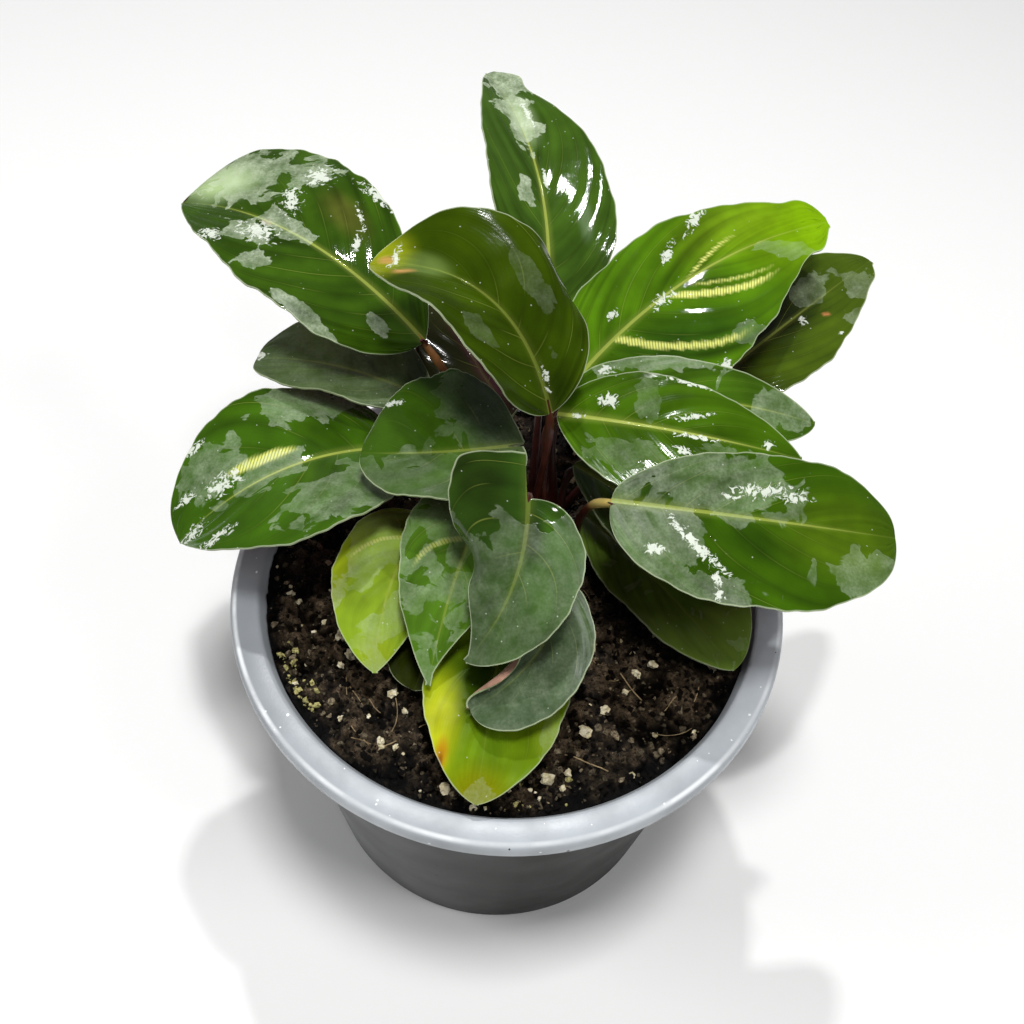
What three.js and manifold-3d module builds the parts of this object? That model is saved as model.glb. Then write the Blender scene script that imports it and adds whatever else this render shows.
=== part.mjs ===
// A potted calathea: a tapered plastic pot filled with potting soil, and twenty glossy leaves
// whose stalks rise from one crown near the middle of the soil.
// Millimetres, +Z up. The origin is the centre of the pot's base, on the surface it stands on.
// The front, where the yellow leaf reaches the rim, faces -Y.
import * as THREE from "three";
import { mergeVertices } from "three/addons/utils/BufferGeometryUtils.js";
import Module from "manifold-3d";

const wasm = await Module();
wasm.setup();

// ---- Pot ----
const POT_HEIGHT = 110;
const RIM_RADIUS = 75;
const RIM_INNER_RADIUS = 67.7;
const RIM_DROP = 4.6;
const RIM_ROUND = 1.2;
const RIM_ROUND_STEPS = 3;
const FLANGE_THICKNESS = 1.8;
const LIP_THICKNESS = 1.6;
const WALL_THICKNESS = 1.8;
const WALL_TOP_RADIUS = 68.2;
const BASE_RADIUS = 55;
const BASE_CHAMFER = 1.5;
const FLOOR_THICKNESS = 2;
const POT_SEGMENTS = 56;
const DRAIN_COUNT = 6;
const DRAIN_RADIUS = 4.5;
const DRAIN_CIRCLE = 38;
const DRAIN_SIDES = 12;
const POT_COLOR = 0xc3cad2;
const POT_ROUGHNESS = 0.45;

// ---- Soil ----
const GAP = 0.35;
const SOIL_EDGE_HEIGHT = 108;
const SOIL_MOUND = 1;
const SOIL_RINGS = 11;
const SOIL_SEGMENTS = 40;
const CRUMB_HEIGHT = 1.3;
const PERLITE_COUNT = 36;
const PERLITE_RADIUS = [1.2, 2.6];
const PERLITE_INNER_CIRCLE = 20;
const PERLITE_OUTER_CIRCLE = 62;
const PERLITE_SHAPE = [1, 0.8, 0.7];
const PERLITE_SEED = 5;
const CRUMB_SEED = 11;
const SOIL_COLOR = 0x2a211b;
const SOIL_ROUGHNESS = 0.95;
const HOLE_DEPTH = 10;

// ---- Leaf ----
const BLADE_THICKNESS = 0.8;
const MIDRIB_THICKNESS = 1.7;
const BLADE_END_HALF_WIDTH = 0.7;
const BLADE_ROWS = 11;
const BLADE_COLUMNS = [-1, -0.52, -0.08, 0, 0.08, 0.52, 1];
const SECTION_STEPS = 10;
const SHEATH_RADIUS = 1.5;
const STALK_RADIUS = 1;
const JOINT_RADIUS = 1.3;
const STALK_SIDES = 6;
const STALK_STEPS = 8;
const STALK_UPRIGHT_SHARE = 0.62;
const JOINT_BEND_SHARE = 0.16;
const SHEATH_TAPER = [0.25, 0.7];
const JOINT_SWELL = [0.8, 0.92];
const LOBE_LENGTH_POWER = 3;
const LOBE_WIDTH_POWER = 1.5;
const LEAF_ROUGHNESS = 0.25;

const UP = new THREE.Vector3(0, 0, 1);

// One half of a blade, from the midrib to the margin.
// width: widest half-width. full and point: how round the base and how sharp the tip are.
// fold: angle up from the blade's plane at the midrib. curl: further angle at the margin.
// lobe: how far the base reaches back past the joint.
// turn: a stretch of margin rolled over: angle, where along the leaf, its spread, and where across.
function half(width, full, point, fold, curl, options = {}) {
  return { width, full, point, fold, curl, lobe: 0, turn: [0, 0.5, 0.1, 0.6], ...options };
}

// foot: where the stalk leaves the soil. base and tip: the ends of the blade's midrib.
// rise and bow: how far the midrib arches above and to the right of the straight line between them.
// roll: how far the right half dips at the base and at the tip, in degrees.
const LEAVES = [
  {
    name: "leaf_back_left", color: 0x2f5a1a,
    foot: [-1.5, 21], base: [-28, 51, 148], tip: [-103, 95, 152], rise: 11, bow: 1.5, roll: [0, 0],
    left: half(25, 0.45, 0.8, 8, -10),
    right: half(32, 0.75, 0.33, 8, -10),
  },
  {
    name: "leaf_back_upright", color: 0x2f6414,
    foot: [4.5, 25], base: [5, 74, 140], tip: [-19, 158, 160], rise: 6, bow: 6, roll: [0, 0],
    left: half(18.5, 0.5, 0.75, 30, -10),
    right: half(21.5, 0.5, 0.9, 10, -10),
  },
  {
    name: "leaf_top", color: 0x4c6220,
    foot: [4, 15.5], base: [7, 20, 158], tip: [-41, 49, 176], rise: 13, bow: 5.5, roll: [-15, -15],
    left: half(18, 0.5, 0.65, 35, -10),
    right: half(23.5, 0.75, 0.82, 12, -10, { turn: [-90, 0.36, 0.16, 0.4] }),
  },
  {
    name: "leaf_back_right", color: 0x4f8616,
    foot: [7.5, 20.5], base: [10, 46, 134], tip: [84, 101, 158], rise: 9, bow: -4, roll: [20, 16],
    left: half(18.5, 0.5, 0.65, 8, -6),
    right: half(30, 0.6, 1, 8, -6),
  },
  {
    name: "leaf_right_upper", color: 0x35571f,
    foot: [11.5, 22], base: [11, 32, 148], tip: [76, 30, 150], rise: 6, bow: 0, roll: [14, 14],
    left: half(12, 0.4, 0.7, 8, -6),
    right: half(15, 0.5, 0.6, 8, -6),
  },
  {
    name: "leaf_right_middle", color: 0x3a6f16,
    foot: [9, 15.2], base: [9, 25, 152], tip: [71, 16, 152], rise: 3, bow: 1, roll: [10, 10],
    left: half(15.5, 0.5, 0.8, 8, -6),
    right: half(23, 0.7, 0.6, 8, -6),
  },
  {
    name: "leaf_right_front", color: 0x2f6414,
    foot: [16.5, 8], base: [23, -3, 154], tip: [94, -2, 146], rise: 5, bow: 3.5, roll: [18, 18],
    left: half(17, 0.5, 0.4, 8, -6),
    right: half(23.5, 0.45, 0.5, 8, -6),
  },
  {
    name: "leaf_far_right", color: 0x2c4a1a,
    foot: [11.5, 26.5], base: [39, 47, 126], tip: [103, 109, 138], rise: 5, bow: 2, roll: [10, 10],
    left: half(19, 0.5, 0.6, 8, -6),
    right: half(18, 0.9, 1, 8, -6),
  },
  {
    name: "leaf_left", color: 0x35571f,
    foot: [-6.5, 18.5], base: [-33, 29, 128], tip: [-87, -3, 122], rise: 10, bow: 1, roll: [0, 0],
    left: half(32, 0.65, 0.85, 22, -8),
    right: half(28.5, 0.42, 0.48, 5, -8),
  },
  {
    name: "leaf_left_inner", color: 0x3b6a20,
    foot: [-0.5, 16], base: [-3, 18, 146], tip: [-40, 12, 146], rise: 2, bow: -2.5, roll: [0, 0],
    left: half(16.5, 0.4, 0.5, 8, -8, { lobe: 4 }),
    right: half(26.5, 0.22, 0.38, 8, -8, { lobe: 5 }),
  },
  {
    name: "leaf_left_shaded", color: 0x27421c,
    foot: [-6.5, 23.5], base: [-26, 42, 134], tip: [-75, 51, 136], rise: 5, bow: 0, roll: [0, 0],
    left: half(11.5, 0.35, 0.35, 8, -6),
    right: half(18, 0.45, 0.4, 8, -6),
  },
  {
    name: "leaf_front_lobed", color: 0x2f5228,
    foot: [4.5, 10.5], base: [3, -4, 152], tip: [-9, -36, 129], rise: 5, bow: -5, roll: [0, 0],
    left: half(16, 0.5, 0.8, 8, -8, { lobe: 1 }),
    right: half(20.5, 0.25, 1.25, 12, 10, { lobe: 14, turn: [-90, 0.48, 0.2, 0.25] }),
  },
  {
    name: "leaf_front_left", color: 0x3f6a22,
    foot: [-0.5, 11], base: [-8, 4, 138], tip: [-18, -39, 121], rise: 3, bow: 1, roll: [0, 0],
    left: half(16, 0.4, 1.5, 8, -8),
    right: half(17, 0.3, 0.95, 8, -8, { lobe: 3 }),
  },
  {
    name: "leaf_front_lime", color: 0x6f8c1e,
    foot: [-5.5, 13], base: [-22, 7, 127], tip: [-32, -34, 116], rise: 4, bow: 3, roll: [0, 0],
    left: half(12.5, 0.5, 0.8, 8, -8),
    right: half(16.5, 0.5, 0.8, 8, -8),
  },
  {
    name: "leaf_front_low", color: 0x29461f,
    foot: [-4, 6.5], base: [-15, -10, 113], tip: [-22, -36, 112], rise: 1, bow: 0, roll: [0, 0],
    left: half(10, 0.5, 0.6, 8, -6),
    right: half(12, 0.5, 0.45, 8, -6),
  },
  {
    name: "leaf_front_yellow", color: 0xa9b81c,
    foot: [1, 5.5], base: [0, -7, 116], tip: [-4, -66, 114], rise: 2.5, bow: 0, roll: [0, 0],
    left: half(20, 0.6, 0.7, 6, -4),
    right: half(18, 0.6, 0.7, 6, -4),
  },
  {
    name: "leaf_front_curled", color: 0x2a4a33,
    foot: [8, 5.5], base: [13, -9, 129], tip: [-7, -45, 121], rise: 4, bow: -7, roll: [0, 0],
    left: half(14, 0.8, 0.5, 8, -6),
    right: half(5.5, 0.5, 0.3, 8, 0, { turn: [170, 0.75, 0.3, 0.15] }),
  },
  {
    name: "leaf_right_low", color: 0x2e4218,
    foot: [18, 14], base: [18, 20, 118], tip: [60, -23, 112], rise: 3, bow: 0, roll: [0, 0],
    left: half(20, 0.5, 0.5, 8, -6),
    right: half(13, 0.7, 0.7, 8, -6),
  },
  {
    name: "leaf_right_narrow", color: 0x2c4a22,
    foot: [13.2, 16.3], base: [15, 25, 132], tip: [60, -3, 120], rise: 3, bow: 0, roll: [0, 0],
    left: half(8, 0.5, 0.6, 8, -6),
    right: half(15, 0.7, 0.5, 8, -6),
  },
  {
    name: "leaf_back_small", color: 0x2c4a22,
    foot: [1, 29], base: [-4, 45, 126], tip: [-29, 79, 135], rise: 3, bow: 0, roll: [0, 0],
    left: half(17, 0.35, 0.6, 8, -16),
    right: half(14, 0.5, 0.6, 20, 40),
  },
];

// ---- Solids ----

function toSolid(geometry) {
  const bare = geometry.clone();
  bare.deleteAttribute("normal");
  bare.deleteAttribute("uv");
  const merged = mergeVertices(bare);
  return new wasm.Manifold(new wasm.Mesh({
    numProp: 3,
    vertProperties: new Float32Array(merged.attributes.position.array),
    triVerts: new Uint32Array(merged.index.array),
  }));
}

function toGeometry(solid) {
  const mesh = solid.getMesh();
  const geometry = new THREE.BufferGeometry();
  geometry.setAttribute("position", new THREE.BufferAttribute(mesh.vertProperties, 3));
  geometry.setIndex(new THREE.BufferAttribute(mesh.triVerts, 1));
  geometry.computeVertexNormals();
  return geometry;
}

function indexedGeometry(points, index) {
  const geometry = new THREE.BufferGeometry().setFromPoints(points);
  geometry.setIndex(index);
  return geometry;
}

// Turns a closed profile of [radius, height] points about Z.
function turned(profile, segments) {
  const points = profile.map(([radius, height]) => new THREE.Vector2(radius, height));
  return new THREE.LatheGeometry(points, segments).rotateX(Math.PI / 2);
}

// A sheet with two faces split alike, joined round its edge.
// pointAt gives the point at a row and a column on the top (+1) or bottom (-1) face.
function sheet(rows, columns, pointAt) {
  const points = [];
  for (const face of [1, -1]) {
    for (let row = 0; row < rows; row += 1) {
      for (let column = 0; column < columns; column += 1) {
        points.push(pointAt(row, column, face));
      }
    }
  }
  const top = (row, column) => row * columns + column;
  const bottom = (row, column) => rows * columns + top(row, column);
  const index = [];
  const quad = (a, b, c, d) => index.push(a, b, c, a, c, d);
  for (let row = 0; row + 1 < rows; row += 1) {
    for (let column = 0; column + 1 < columns; column += 1) {
      quad(top(row, column), top(row, column + 1), top(row + 1, column + 1), top(row + 1, column));
      index.push(bottom(row, column), bottom(row + 1, column + 1), bottom(row, column + 1));
      index.push(bottom(row, column), bottom(row + 1, column), bottom(row + 1, column + 1));
    }
  }
  const wall = (here, there) => {
    quad(top(...there), top(...here), bottom(...here), bottom(...there));
  };
  for (let row = 0; row + 1 < rows; row += 1) {
    wall([row + 1, 0], [row, 0]);
    wall([row, columns - 1], [row + 1, columns - 1]);
  }
  for (let column = 0; column + 1 < columns; column += 1) {
    wall([0, column], [0, column + 1]);
    wall([rows - 1, column + 1], [rows - 1, column]);
  }
  return indexedGeometry(points, index);
}

// A round rod along a curve, with a radius that changes along it and closed ends.
function rod(curve, radiusAt, sides, steps) {
  const { binormals, normals } = curve.computeFrenetFrames(steps, false);
  const points = [];
  for (let step = 0; step <= steps; step += 1) {
    const centre = curve.getPointAt(step / steps);
    for (let side = 0; side < sides; side += 1) {
      const angle = 2 * Math.PI * side / sides;
      points.push(centre.clone()
        .addScaledVector(normals[step], radiusAt(step / steps) * Math.cos(angle))
        .addScaledVector(binormals[step], radiusAt(step / steps) * Math.sin(angle)));
    }
  }
  const index = [];
  for (let step = 0; step < steps; step += 1) {
    for (let side = 0; side < sides; side += 1) {
      const here = step * sides + side;
      const next = step * sides + (side + 1) % sides;
      index.push(here, next, next + sides, here, next + sides, here + sides);
    }
  }
  const last = steps * sides;
  for (let side = 1; side + 1 < sides; side += 1) {
    index.push(0, side + 1, side);
    index.push(last, last + side, last + side + 1);
  }
  return indexedGeometry(points, index);
}

// A repeatable random sequence between 0 and 1.
function sequence(seed) {
  let state = seed;
  return () => {
    state = (state * 1664525 + 1013904223) % 4294967296;
    return state / 4294967296;
  };
}

// ---- Pot and soil ----

function wallRadius(height) {
  return THREE.MathUtils.mapLinear(height, 0, POT_HEIGHT, BASE_RADIUS, WALL_TOP_RADIUS);
}

function roundCorner(centreRadius, centreHeight, from, to) {
  const corner = [];
  for (let step = 0; step <= RIM_ROUND_STEPS; step += 1) {
    const angle = THREE.MathUtils.degToRad(THREE.MathUtils.lerp(from, to, step / RIM_ROUND_STEPS));
    corner.push([
      centreRadius + RIM_ROUND * Math.cos(angle),
      centreHeight + RIM_ROUND * Math.sin(angle),
    ]);
  }
  return corner;
}

function potGeometry() {
  const flangeUnderside = POT_HEIGHT - FLANGE_THICKNESS;
  const insideTop = POT_HEIGHT - 2 * RIM_ROUND;
  const profile = [
    [0, 0],
    [BASE_RADIUS - BASE_CHAMFER, 0],
    [wallRadius(BASE_CHAMFER), BASE_CHAMFER],
    [wallRadius(flangeUnderside), flangeUnderside],
    [RIM_RADIUS - LIP_THICKNESS, flangeUnderside],
    [RIM_RADIUS - LIP_THICKNESS, POT_HEIGHT - RIM_DROP],
    [RIM_RADIUS, POT_HEIGHT - RIM_DROP],
    ...roundCorner(RIM_RADIUS - RIM_ROUND, POT_HEIGHT - RIM_ROUND, 0, 90),
    ...roundCorner(RIM_INNER_RADIUS, POT_HEIGHT - RIM_ROUND, 90, 180),
    [wallRadius(insideTop) - WALL_THICKNESS, insideTop],
    [wallRadius(FLOOR_THICKNESS) - WALL_THICKNESS, FLOOR_THICKNESS],
    [0, FLOOR_THICKNESS],
  ];
  let pot = toSolid(turned(profile, POT_SEGMENTS));
  for (let hole = 0; hole < DRAIN_COUNT; hole += 1) {
    const angle = 2 * Math.PI * hole / DRAIN_COUNT;
    const drill = new THREE.CylinderGeometry(DRAIN_RADIUS, DRAIN_RADIUS, 3 * FLOOR_THICKNESS, DRAIN_SIDES);
    drill.rotateX(Math.PI / 2);
    drill.translate(DRAIN_CIRCLE * Math.cos(angle), DRAIN_CIRCLE * Math.sin(angle), FLOOR_THICKNESS / 2);
    pot = pot.subtract(toSolid(drill));
  }
  return toGeometry(pot);
}

// Height of the smooth soil surface, mounded toward the middle.
function soilHeight(radius, edge) {
  return SOIL_EDGE_HEIGHT + SOIL_MOUND * (1 - (radius / edge) ** 2);
}

// Soil body: a tapered plug whose top is broken up into crumbs.
function soilBody() {
  const random = sequence(CRUMB_SEED);
  const bottom = FLOOR_THICKNESS + GAP;
  const bottomRadius = wallRadius(bottom) - WALL_THICKNESS - GAP;
  const edge = wallRadius(SOIL_EDGE_HEIGHT - CRUMB_HEIGHT) - WALL_THICKNESS - GAP;
  const points = [new THREE.Vector3(0, 0, soilHeight(0, edge)), new THREE.Vector3(0, 0, bottom)];
  const onCircle = (radius, segment, height) => {
    const angle = 2 * Math.PI * segment / SOIL_SEGMENTS;
    points.push(new THREE.Vector3(radius * Math.cos(angle), radius * Math.sin(angle), height));
  };
  for (let ring = 1; ring <= SOIL_RINGS; ring += 1) {
    const radius = edge * ring / SOIL_RINGS;
    for (let segment = 0; segment < SOIL_SEGMENTS; segment += 1) {
      const crumb = ring < SOIL_RINGS ? CRUMB_HEIGHT * (random() - 0.5) * 2 : -CRUMB_HEIGHT;
      onCircle(radius, segment, soilHeight(radius, edge) + crumb);
    }
  }
  for (let segment = 0; segment < SOIL_SEGMENTS; segment += 1) {
    onCircle(bottomRadius, segment, bottom);
  }
  const at = (ring, segment) => 2 + (ring - 1) * SOIL_SEGMENTS + segment % SOIL_SEGMENTS;
  const lowest = SOIL_RINGS + 1;
  const index = [];
  for (let segment = 0; segment < SOIL_SEGMENTS; segment += 1) {
    index.push(0, at(1, segment), at(1, segment + 1));
    index.push(1, at(lowest, segment + 1), at(lowest, segment));
    for (let ring = 1; ring < lowest; ring += 1) {
      index.push(at(ring, segment), at(ring + 1, segment), at(ring + 1, segment + 1));
      index.push(at(ring, segment), at(ring + 1, segment + 1), at(ring, segment + 1));
    }
  }
  return toSolid(indexedGeometry(points, index));
}

// Perlite grains, each sunk to its middle in the soil's top.
function perliteGrains() {
  const random = sequence(PERLITE_SEED);
  const [smallest, largest] = PERLITE_RADIUS;
  const grains = [];
  for (let grain = 0; grain < PERLITE_COUNT; grain += 1) {
    const radius = THREE.MathUtils.lerp(smallest, largest, random() ** 2);
    const share = Math.sqrt(random());
    const distance = THREE.MathUtils.lerp(PERLITE_INNER_CIRCLE, PERLITE_OUTER_CIRCLE, share);
    const angle = 2 * Math.PI * random();
    const geometry = new THREE.IcosahedronGeometry(radius, 0);
    geometry.rotateX(Math.PI * random());
    geometry.scale(...PERLITE_SHAPE);
    geometry.rotateZ(Math.PI * random());
    geometry.translate(
      distance * Math.cos(angle),
      distance * Math.sin(angle),
      soilHeight(distance, PERLITE_OUTER_CIRCLE),
    );
    grains.push(toSolid(geometry));
  }
  return grains;
}

function soilGeometry() {
  let soil = soilBody();
  for (const grain of perliteGrains()) {
    soil = soil.add(grain);
  }
  for (const leaf of LEAVES) {
    const hole = rod(stalkCurve(leaf, GAP), (along) => stalkRadius(along) + GAP, STALK_SIDES, STALK_STEPS);
    soil = soil.subtract(toSolid(hole));
  }
  return toGeometry(soil);
}

// ---- Leaves ----

function midrib(leaf) {
  const base = new THREE.Vector3(...leaf.base);
  const tip = new THREE.Vector3(...leaf.tip);
  const { right, up } = frameAlong(tip.clone().sub(base));
  const control = base.clone().lerp(tip, 0.5)
    .addScaledVector(up, 2 * leaf.rise)
    .addScaledVector(right, 2 * leaf.bow);
  return new THREE.QuadraticBezierCurve3(base, control, tip);
}

function frameAlong(direction) {
  const ahead = direction.clone().normalize();
  const right = ahead.clone().cross(UP).normalize();
  return { ahead, right, up: right.clone().cross(ahead) };
}

// Half-width as a share of the widest, between the base (0) and the tip (1).
function outline({ full, point }, along) {
  const widest = full / (full + point);
  const peak = widest ** full * (1 - widest) ** point;
  return along ** full * (1 - along) ** point / peak;
}

// Walks from the midrib toward the margin and returns how far out and how high the blade is there.
function crossSection(side, along, share) {
  const reach = Math.max(side.width * outline(side, along), BLADE_END_HALF_WIDTH);
  const [turnAngle, turnAt, turnSpread, turnEdge] = side.turn;
  const turned = turnAngle * Math.exp(-(((along - turnAt) / turnSpread) ** 2));
  let out = 0;
  let high = 0;
  for (let step = 0; step < SECTION_STEPS; step += 1) {
    const here = share * (step + 0.5) / SECTION_STEPS;
    const over = turned * THREE.MathUtils.smoothstep(here, turnEdge, 1);
    const angle = THREE.MathUtils.degToRad(side.fold + side.curl * here + over);
    out += reach * Math.cos(angle) * share / SECTION_STEPS;
    high += reach * Math.sin(angle) * share / SECTION_STEPS;
  }
  const back = side.lobe * (1 - along) ** LOBE_LENGTH_POWER * share ** LOBE_WIDTH_POWER;
  return { out, high, back };
}

// Point on the blade: across runs from -1 at the left margin to 1 at the right one.
function bladePoint(leaf, curve, along, across, lift) {
  const side = across < 0 ? leaf.left : leaf.right;
  const { ahead, right, up } = frameAlong(curve.getTangent(along));
  const roll = THREE.MathUtils.degToRad(THREE.MathUtils.lerp(leaf.roll[0], leaf.roll[1], along));
  const outward = right.clone().multiplyScalar(Math.cos(roll)).addScaledVector(up, -Math.sin(roll));
  const normal = up.clone().multiplyScalar(Math.cos(roll)).addScaledVector(right, Math.sin(roll));
  const { out, high, back } = crossSection(side, along, Math.abs(across));
  return curve.getPoint(along)
    .addScaledVector(outward, Math.sign(across) * out)
    .addScaledVector(normal, high + lift)
    .addScaledVector(ahead, -back);
}

function bladeGeometry(leaf) {
  const curve = midrib(leaf);
  return sheet(BLADE_ROWS, BLADE_COLUMNS.length, (row, column, face) => {
    const along = (1 - Math.cos(Math.PI * row / (BLADE_ROWS - 1))) / 2;
    const across = BLADE_COLUMNS[column];
    const rib = across === 0 ? (MIDRIB_THICKNESS - BLADE_THICKNESS) * (1 - along) : 0;
    return bladePoint(leaf, curve, along, across, face * (BLADE_THICKNESS + rib) / 2);
  });
}

// The stalk leaves the soil upright and turns at the joint into the blade's own direction.
function stalkCurve(leaf, deeper = 0) {
  const [x, y] = leaf.foot;
  const buried = new THREE.Vector3(x, y, SOIL_EDGE_HEIGHT - HOLE_DEPTH - deeper);
  const base = new THREE.Vector3(...leaf.base);
  const ahead = midrib(leaf).getTangent(0);
  const length = base.distanceTo(buried);
  return new THREE.CubicBezierCurve3(
    buried,
    buried.clone().addScaledVector(UP, STALK_UPRIGHT_SHARE * (base.z - buried.z)),
    base.clone().addScaledVector(ahead, -JOINT_BEND_SHARE * length),
    base.clone().addScaledVector(ahead, JOINT_RADIUS),
  );
}

function stalkRadius(along) {
  const sheath = THREE.MathUtils.smoothstep(along, ...SHEATH_TAPER);
  const joint = THREE.MathUtils.smoothstep(along, ...JOINT_SWELL);
  const slim = THREE.MathUtils.lerp(SHEATH_RADIUS, STALK_RADIUS, sheath);
  return THREE.MathUtils.lerp(slim, JOINT_RADIUS, joint);
}

function leafGeometry(leaf) {
  const stalk = toSolid(rod(stalkCurve(leaf), stalkRadius, STALK_SIDES, STALK_STEPS));
  return toGeometry(stalk.add(toSolid(bladeGeometry(leaf))));
}

// ---- Assembly ----

function mesh(name, geometry, color, roughness) {
  const material = new THREE.MeshStandardMaterial({ color, roughness, metalness: 0 });
  const piece = new THREE.Mesh(geometry, material);
  piece.name = name;
  return piece;
}

const plant = new THREE.Group();
plant.add(mesh("pot", potGeometry(), POT_COLOR, POT_ROUGHNESS));
plant.add(mesh("soil", soilGeometry(), SOIL_COLOR, SOIL_ROUGHNESS));
for (const leaf of LEAVES) {
  plant.add(mesh(leaf.name, leafGeometry(leaf), leaf.color, LEAF_ROUGHNESS));
}

export default plant;
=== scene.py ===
"""Looks of a potted calathea: glossy leaves on stalks, crumbly potting soil and a grey plastic pot.

The frame's solids give the place of every piece. Each leaf is rebuilt on the same midrib, outline and
cross-section as its solid, with a finer mesh, and so are the soil and the pot. Sizes are in
millimetres, as in the solids, and are turned into metres when a mesh gets its points.
"""

import logging
import math
import random
from dataclasses import dataclass
from enum import Enum

import bpy
import numpy as np
from mathutils import Matrix, Vector, noise


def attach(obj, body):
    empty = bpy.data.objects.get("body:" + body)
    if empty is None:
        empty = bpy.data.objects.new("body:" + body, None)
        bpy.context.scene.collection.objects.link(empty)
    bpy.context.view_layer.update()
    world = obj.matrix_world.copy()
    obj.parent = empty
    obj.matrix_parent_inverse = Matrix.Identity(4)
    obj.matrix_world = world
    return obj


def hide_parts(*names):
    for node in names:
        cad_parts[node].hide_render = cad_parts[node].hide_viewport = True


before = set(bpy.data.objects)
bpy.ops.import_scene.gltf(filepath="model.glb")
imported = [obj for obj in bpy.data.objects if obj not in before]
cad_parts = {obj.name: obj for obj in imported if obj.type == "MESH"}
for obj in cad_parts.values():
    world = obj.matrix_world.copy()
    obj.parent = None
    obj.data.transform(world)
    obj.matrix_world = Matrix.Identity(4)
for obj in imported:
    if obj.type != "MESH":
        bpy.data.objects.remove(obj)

MM = 0.001
BODY = "root"
FULL_TURN = 2 * math.pi
UP = np.array([0.0, 0.0, 1.0])
LOG = logging.getLogger("potted_calathea")

Point = tuple[float, float, float]
Array = np.ndarray
Piece = bpy.types.Object
Mesh = bpy.types.Mesh
Material = bpy.types.Material
Socket = bpy.types.NodeSocket


class Slot(Enum):
    """Material slots of the record."""

    POT = "pot"
    SOIL = "soil"
    LEAF = "leaf"
    YELLOWING = "yellowing_leaf"


def linear(code: str) -> tuple[float, ...]:
    """Turns a colour as the eye reads it, six sRGB hex digits, into linear light with full opacity."""
    parts = [int(code[at : at + 2], 16) / 255 for at in (0, 2, 4)]
    return (*(part / 12.92 if part <= 0.04045 else ((part + 0.055) / 1.055) ** 2.4 for part in parts), 1.0)


def smooth(value: Array, low: float, high: float) -> Array:
    """Rises smoothly from 0 where the value is low to 1 where it is high."""
    share = np.clip((value - low) / (high - low), 0, 1)
    return share * share * (3 - 2 * share)


def hushed() -> None:
    """Deselects every object, so that the next operator acts on its own piece alone."""
    for other in list(bpy.context.selected_objects):
        other.select_set(False)


def take(piece: Piece) -> None:
    """Makes one piece the only selected and the active one.

    Args:
        piece: The piece to work on.
    """
    hushed()
    piece.select_set(True)
    bpy.context.view_layer.objects.active = piece


def grid(name: str, columns: int, rows: int) -> Piece:
    """Adds a flat grid, from -1 to 1 each way, to shape a piece from.

    Args:
        name: The piece's name.
        columns: Faces across.
        rows: Faces along.

    Returns:
        The grid.
    """
    hushed()
    bpy.ops.mesh.primitive_grid_add(x_subdivisions=columns, y_subdivisions=rows, size=2)
    bpy.context.object.name = name
    return bpy.context.object


def face_outward() -> None:
    """Turns every face of the piece in edit mode outward and leaves edit mode."""
    bpy.ops.mesh.select_all(action="SELECT")
    bpy.ops.mesh.normals_make_consistent(inside=False)
    bpy.ops.object.mode_set(mode="OBJECT")


def modify(piece: Piece, name: str, kind: str, **settings: object) -> None:
    """Applies a modifier to a piece.

    Args:
        piece: The piece to change.
        name: What the modifier does.
        kind: Its type.
        settings: Its properties.
    """
    take(piece)
    modifier = piece.modifiers.new(name, kind)
    for key, value in settings.items():
        setattr(modifier, key, value)
    bpy.ops.object.modifier_apply(modifier=modifier.name)


def settle(piece: Piece, slot: Slot, *nodes: str) -> None:
    """Puts a finished piece on the frame in place of the solids that it stands for.

    Args:
        piece: The finished piece.
        slot: Not used.
        nodes: The solids that it replaces.
    """
    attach(piece, BODY)
    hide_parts(*nodes)
    LOG.info("%s: %d faces", piece.name, len(piece.data.polygons))


def write_points(mesh: Mesh, points: Array) -> None:
    """Moves a mesh's vertices to new places, given in millimetres."""
    mesh.vertices.foreach_set("co", (points * MM).astype(np.float32).ravel())
    mesh.update()


def read_rows(items: bpy.types.bpy_prop_collection, key: str) -> Array:
    """Reads a place or a direction of each vertex.

    Args:
        items: The mesh's vertices or its vertex normals.
        key: What to read of them.

    Returns:
        One row of three numbers for each vertex.
    """
    rows = np.empty(len(items) * 3, dtype=np.float32)
    items.foreach_get(key, rows)
    return rows.reshape(-1, 3).astype(float)


def store(mesh: Mesh, name: str, values: Array) -> None:
    """Stores a number or a linear colour for each vertex, for a material to read.

    Args:
        mesh: The mesh that carries them.
        name: What the material reads them by.
        values: One number, or one row of four, for each vertex.
    """
    kind, part = ("FLOAT", "value") if values.ndim == 1 else ("FLOAT_COLOR", "color")
    mesh.attributes.new(name, kind, "POINT")
    mesh.attributes[name].data.foreach_set(part, values.astype(np.float32).ravel())


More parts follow.
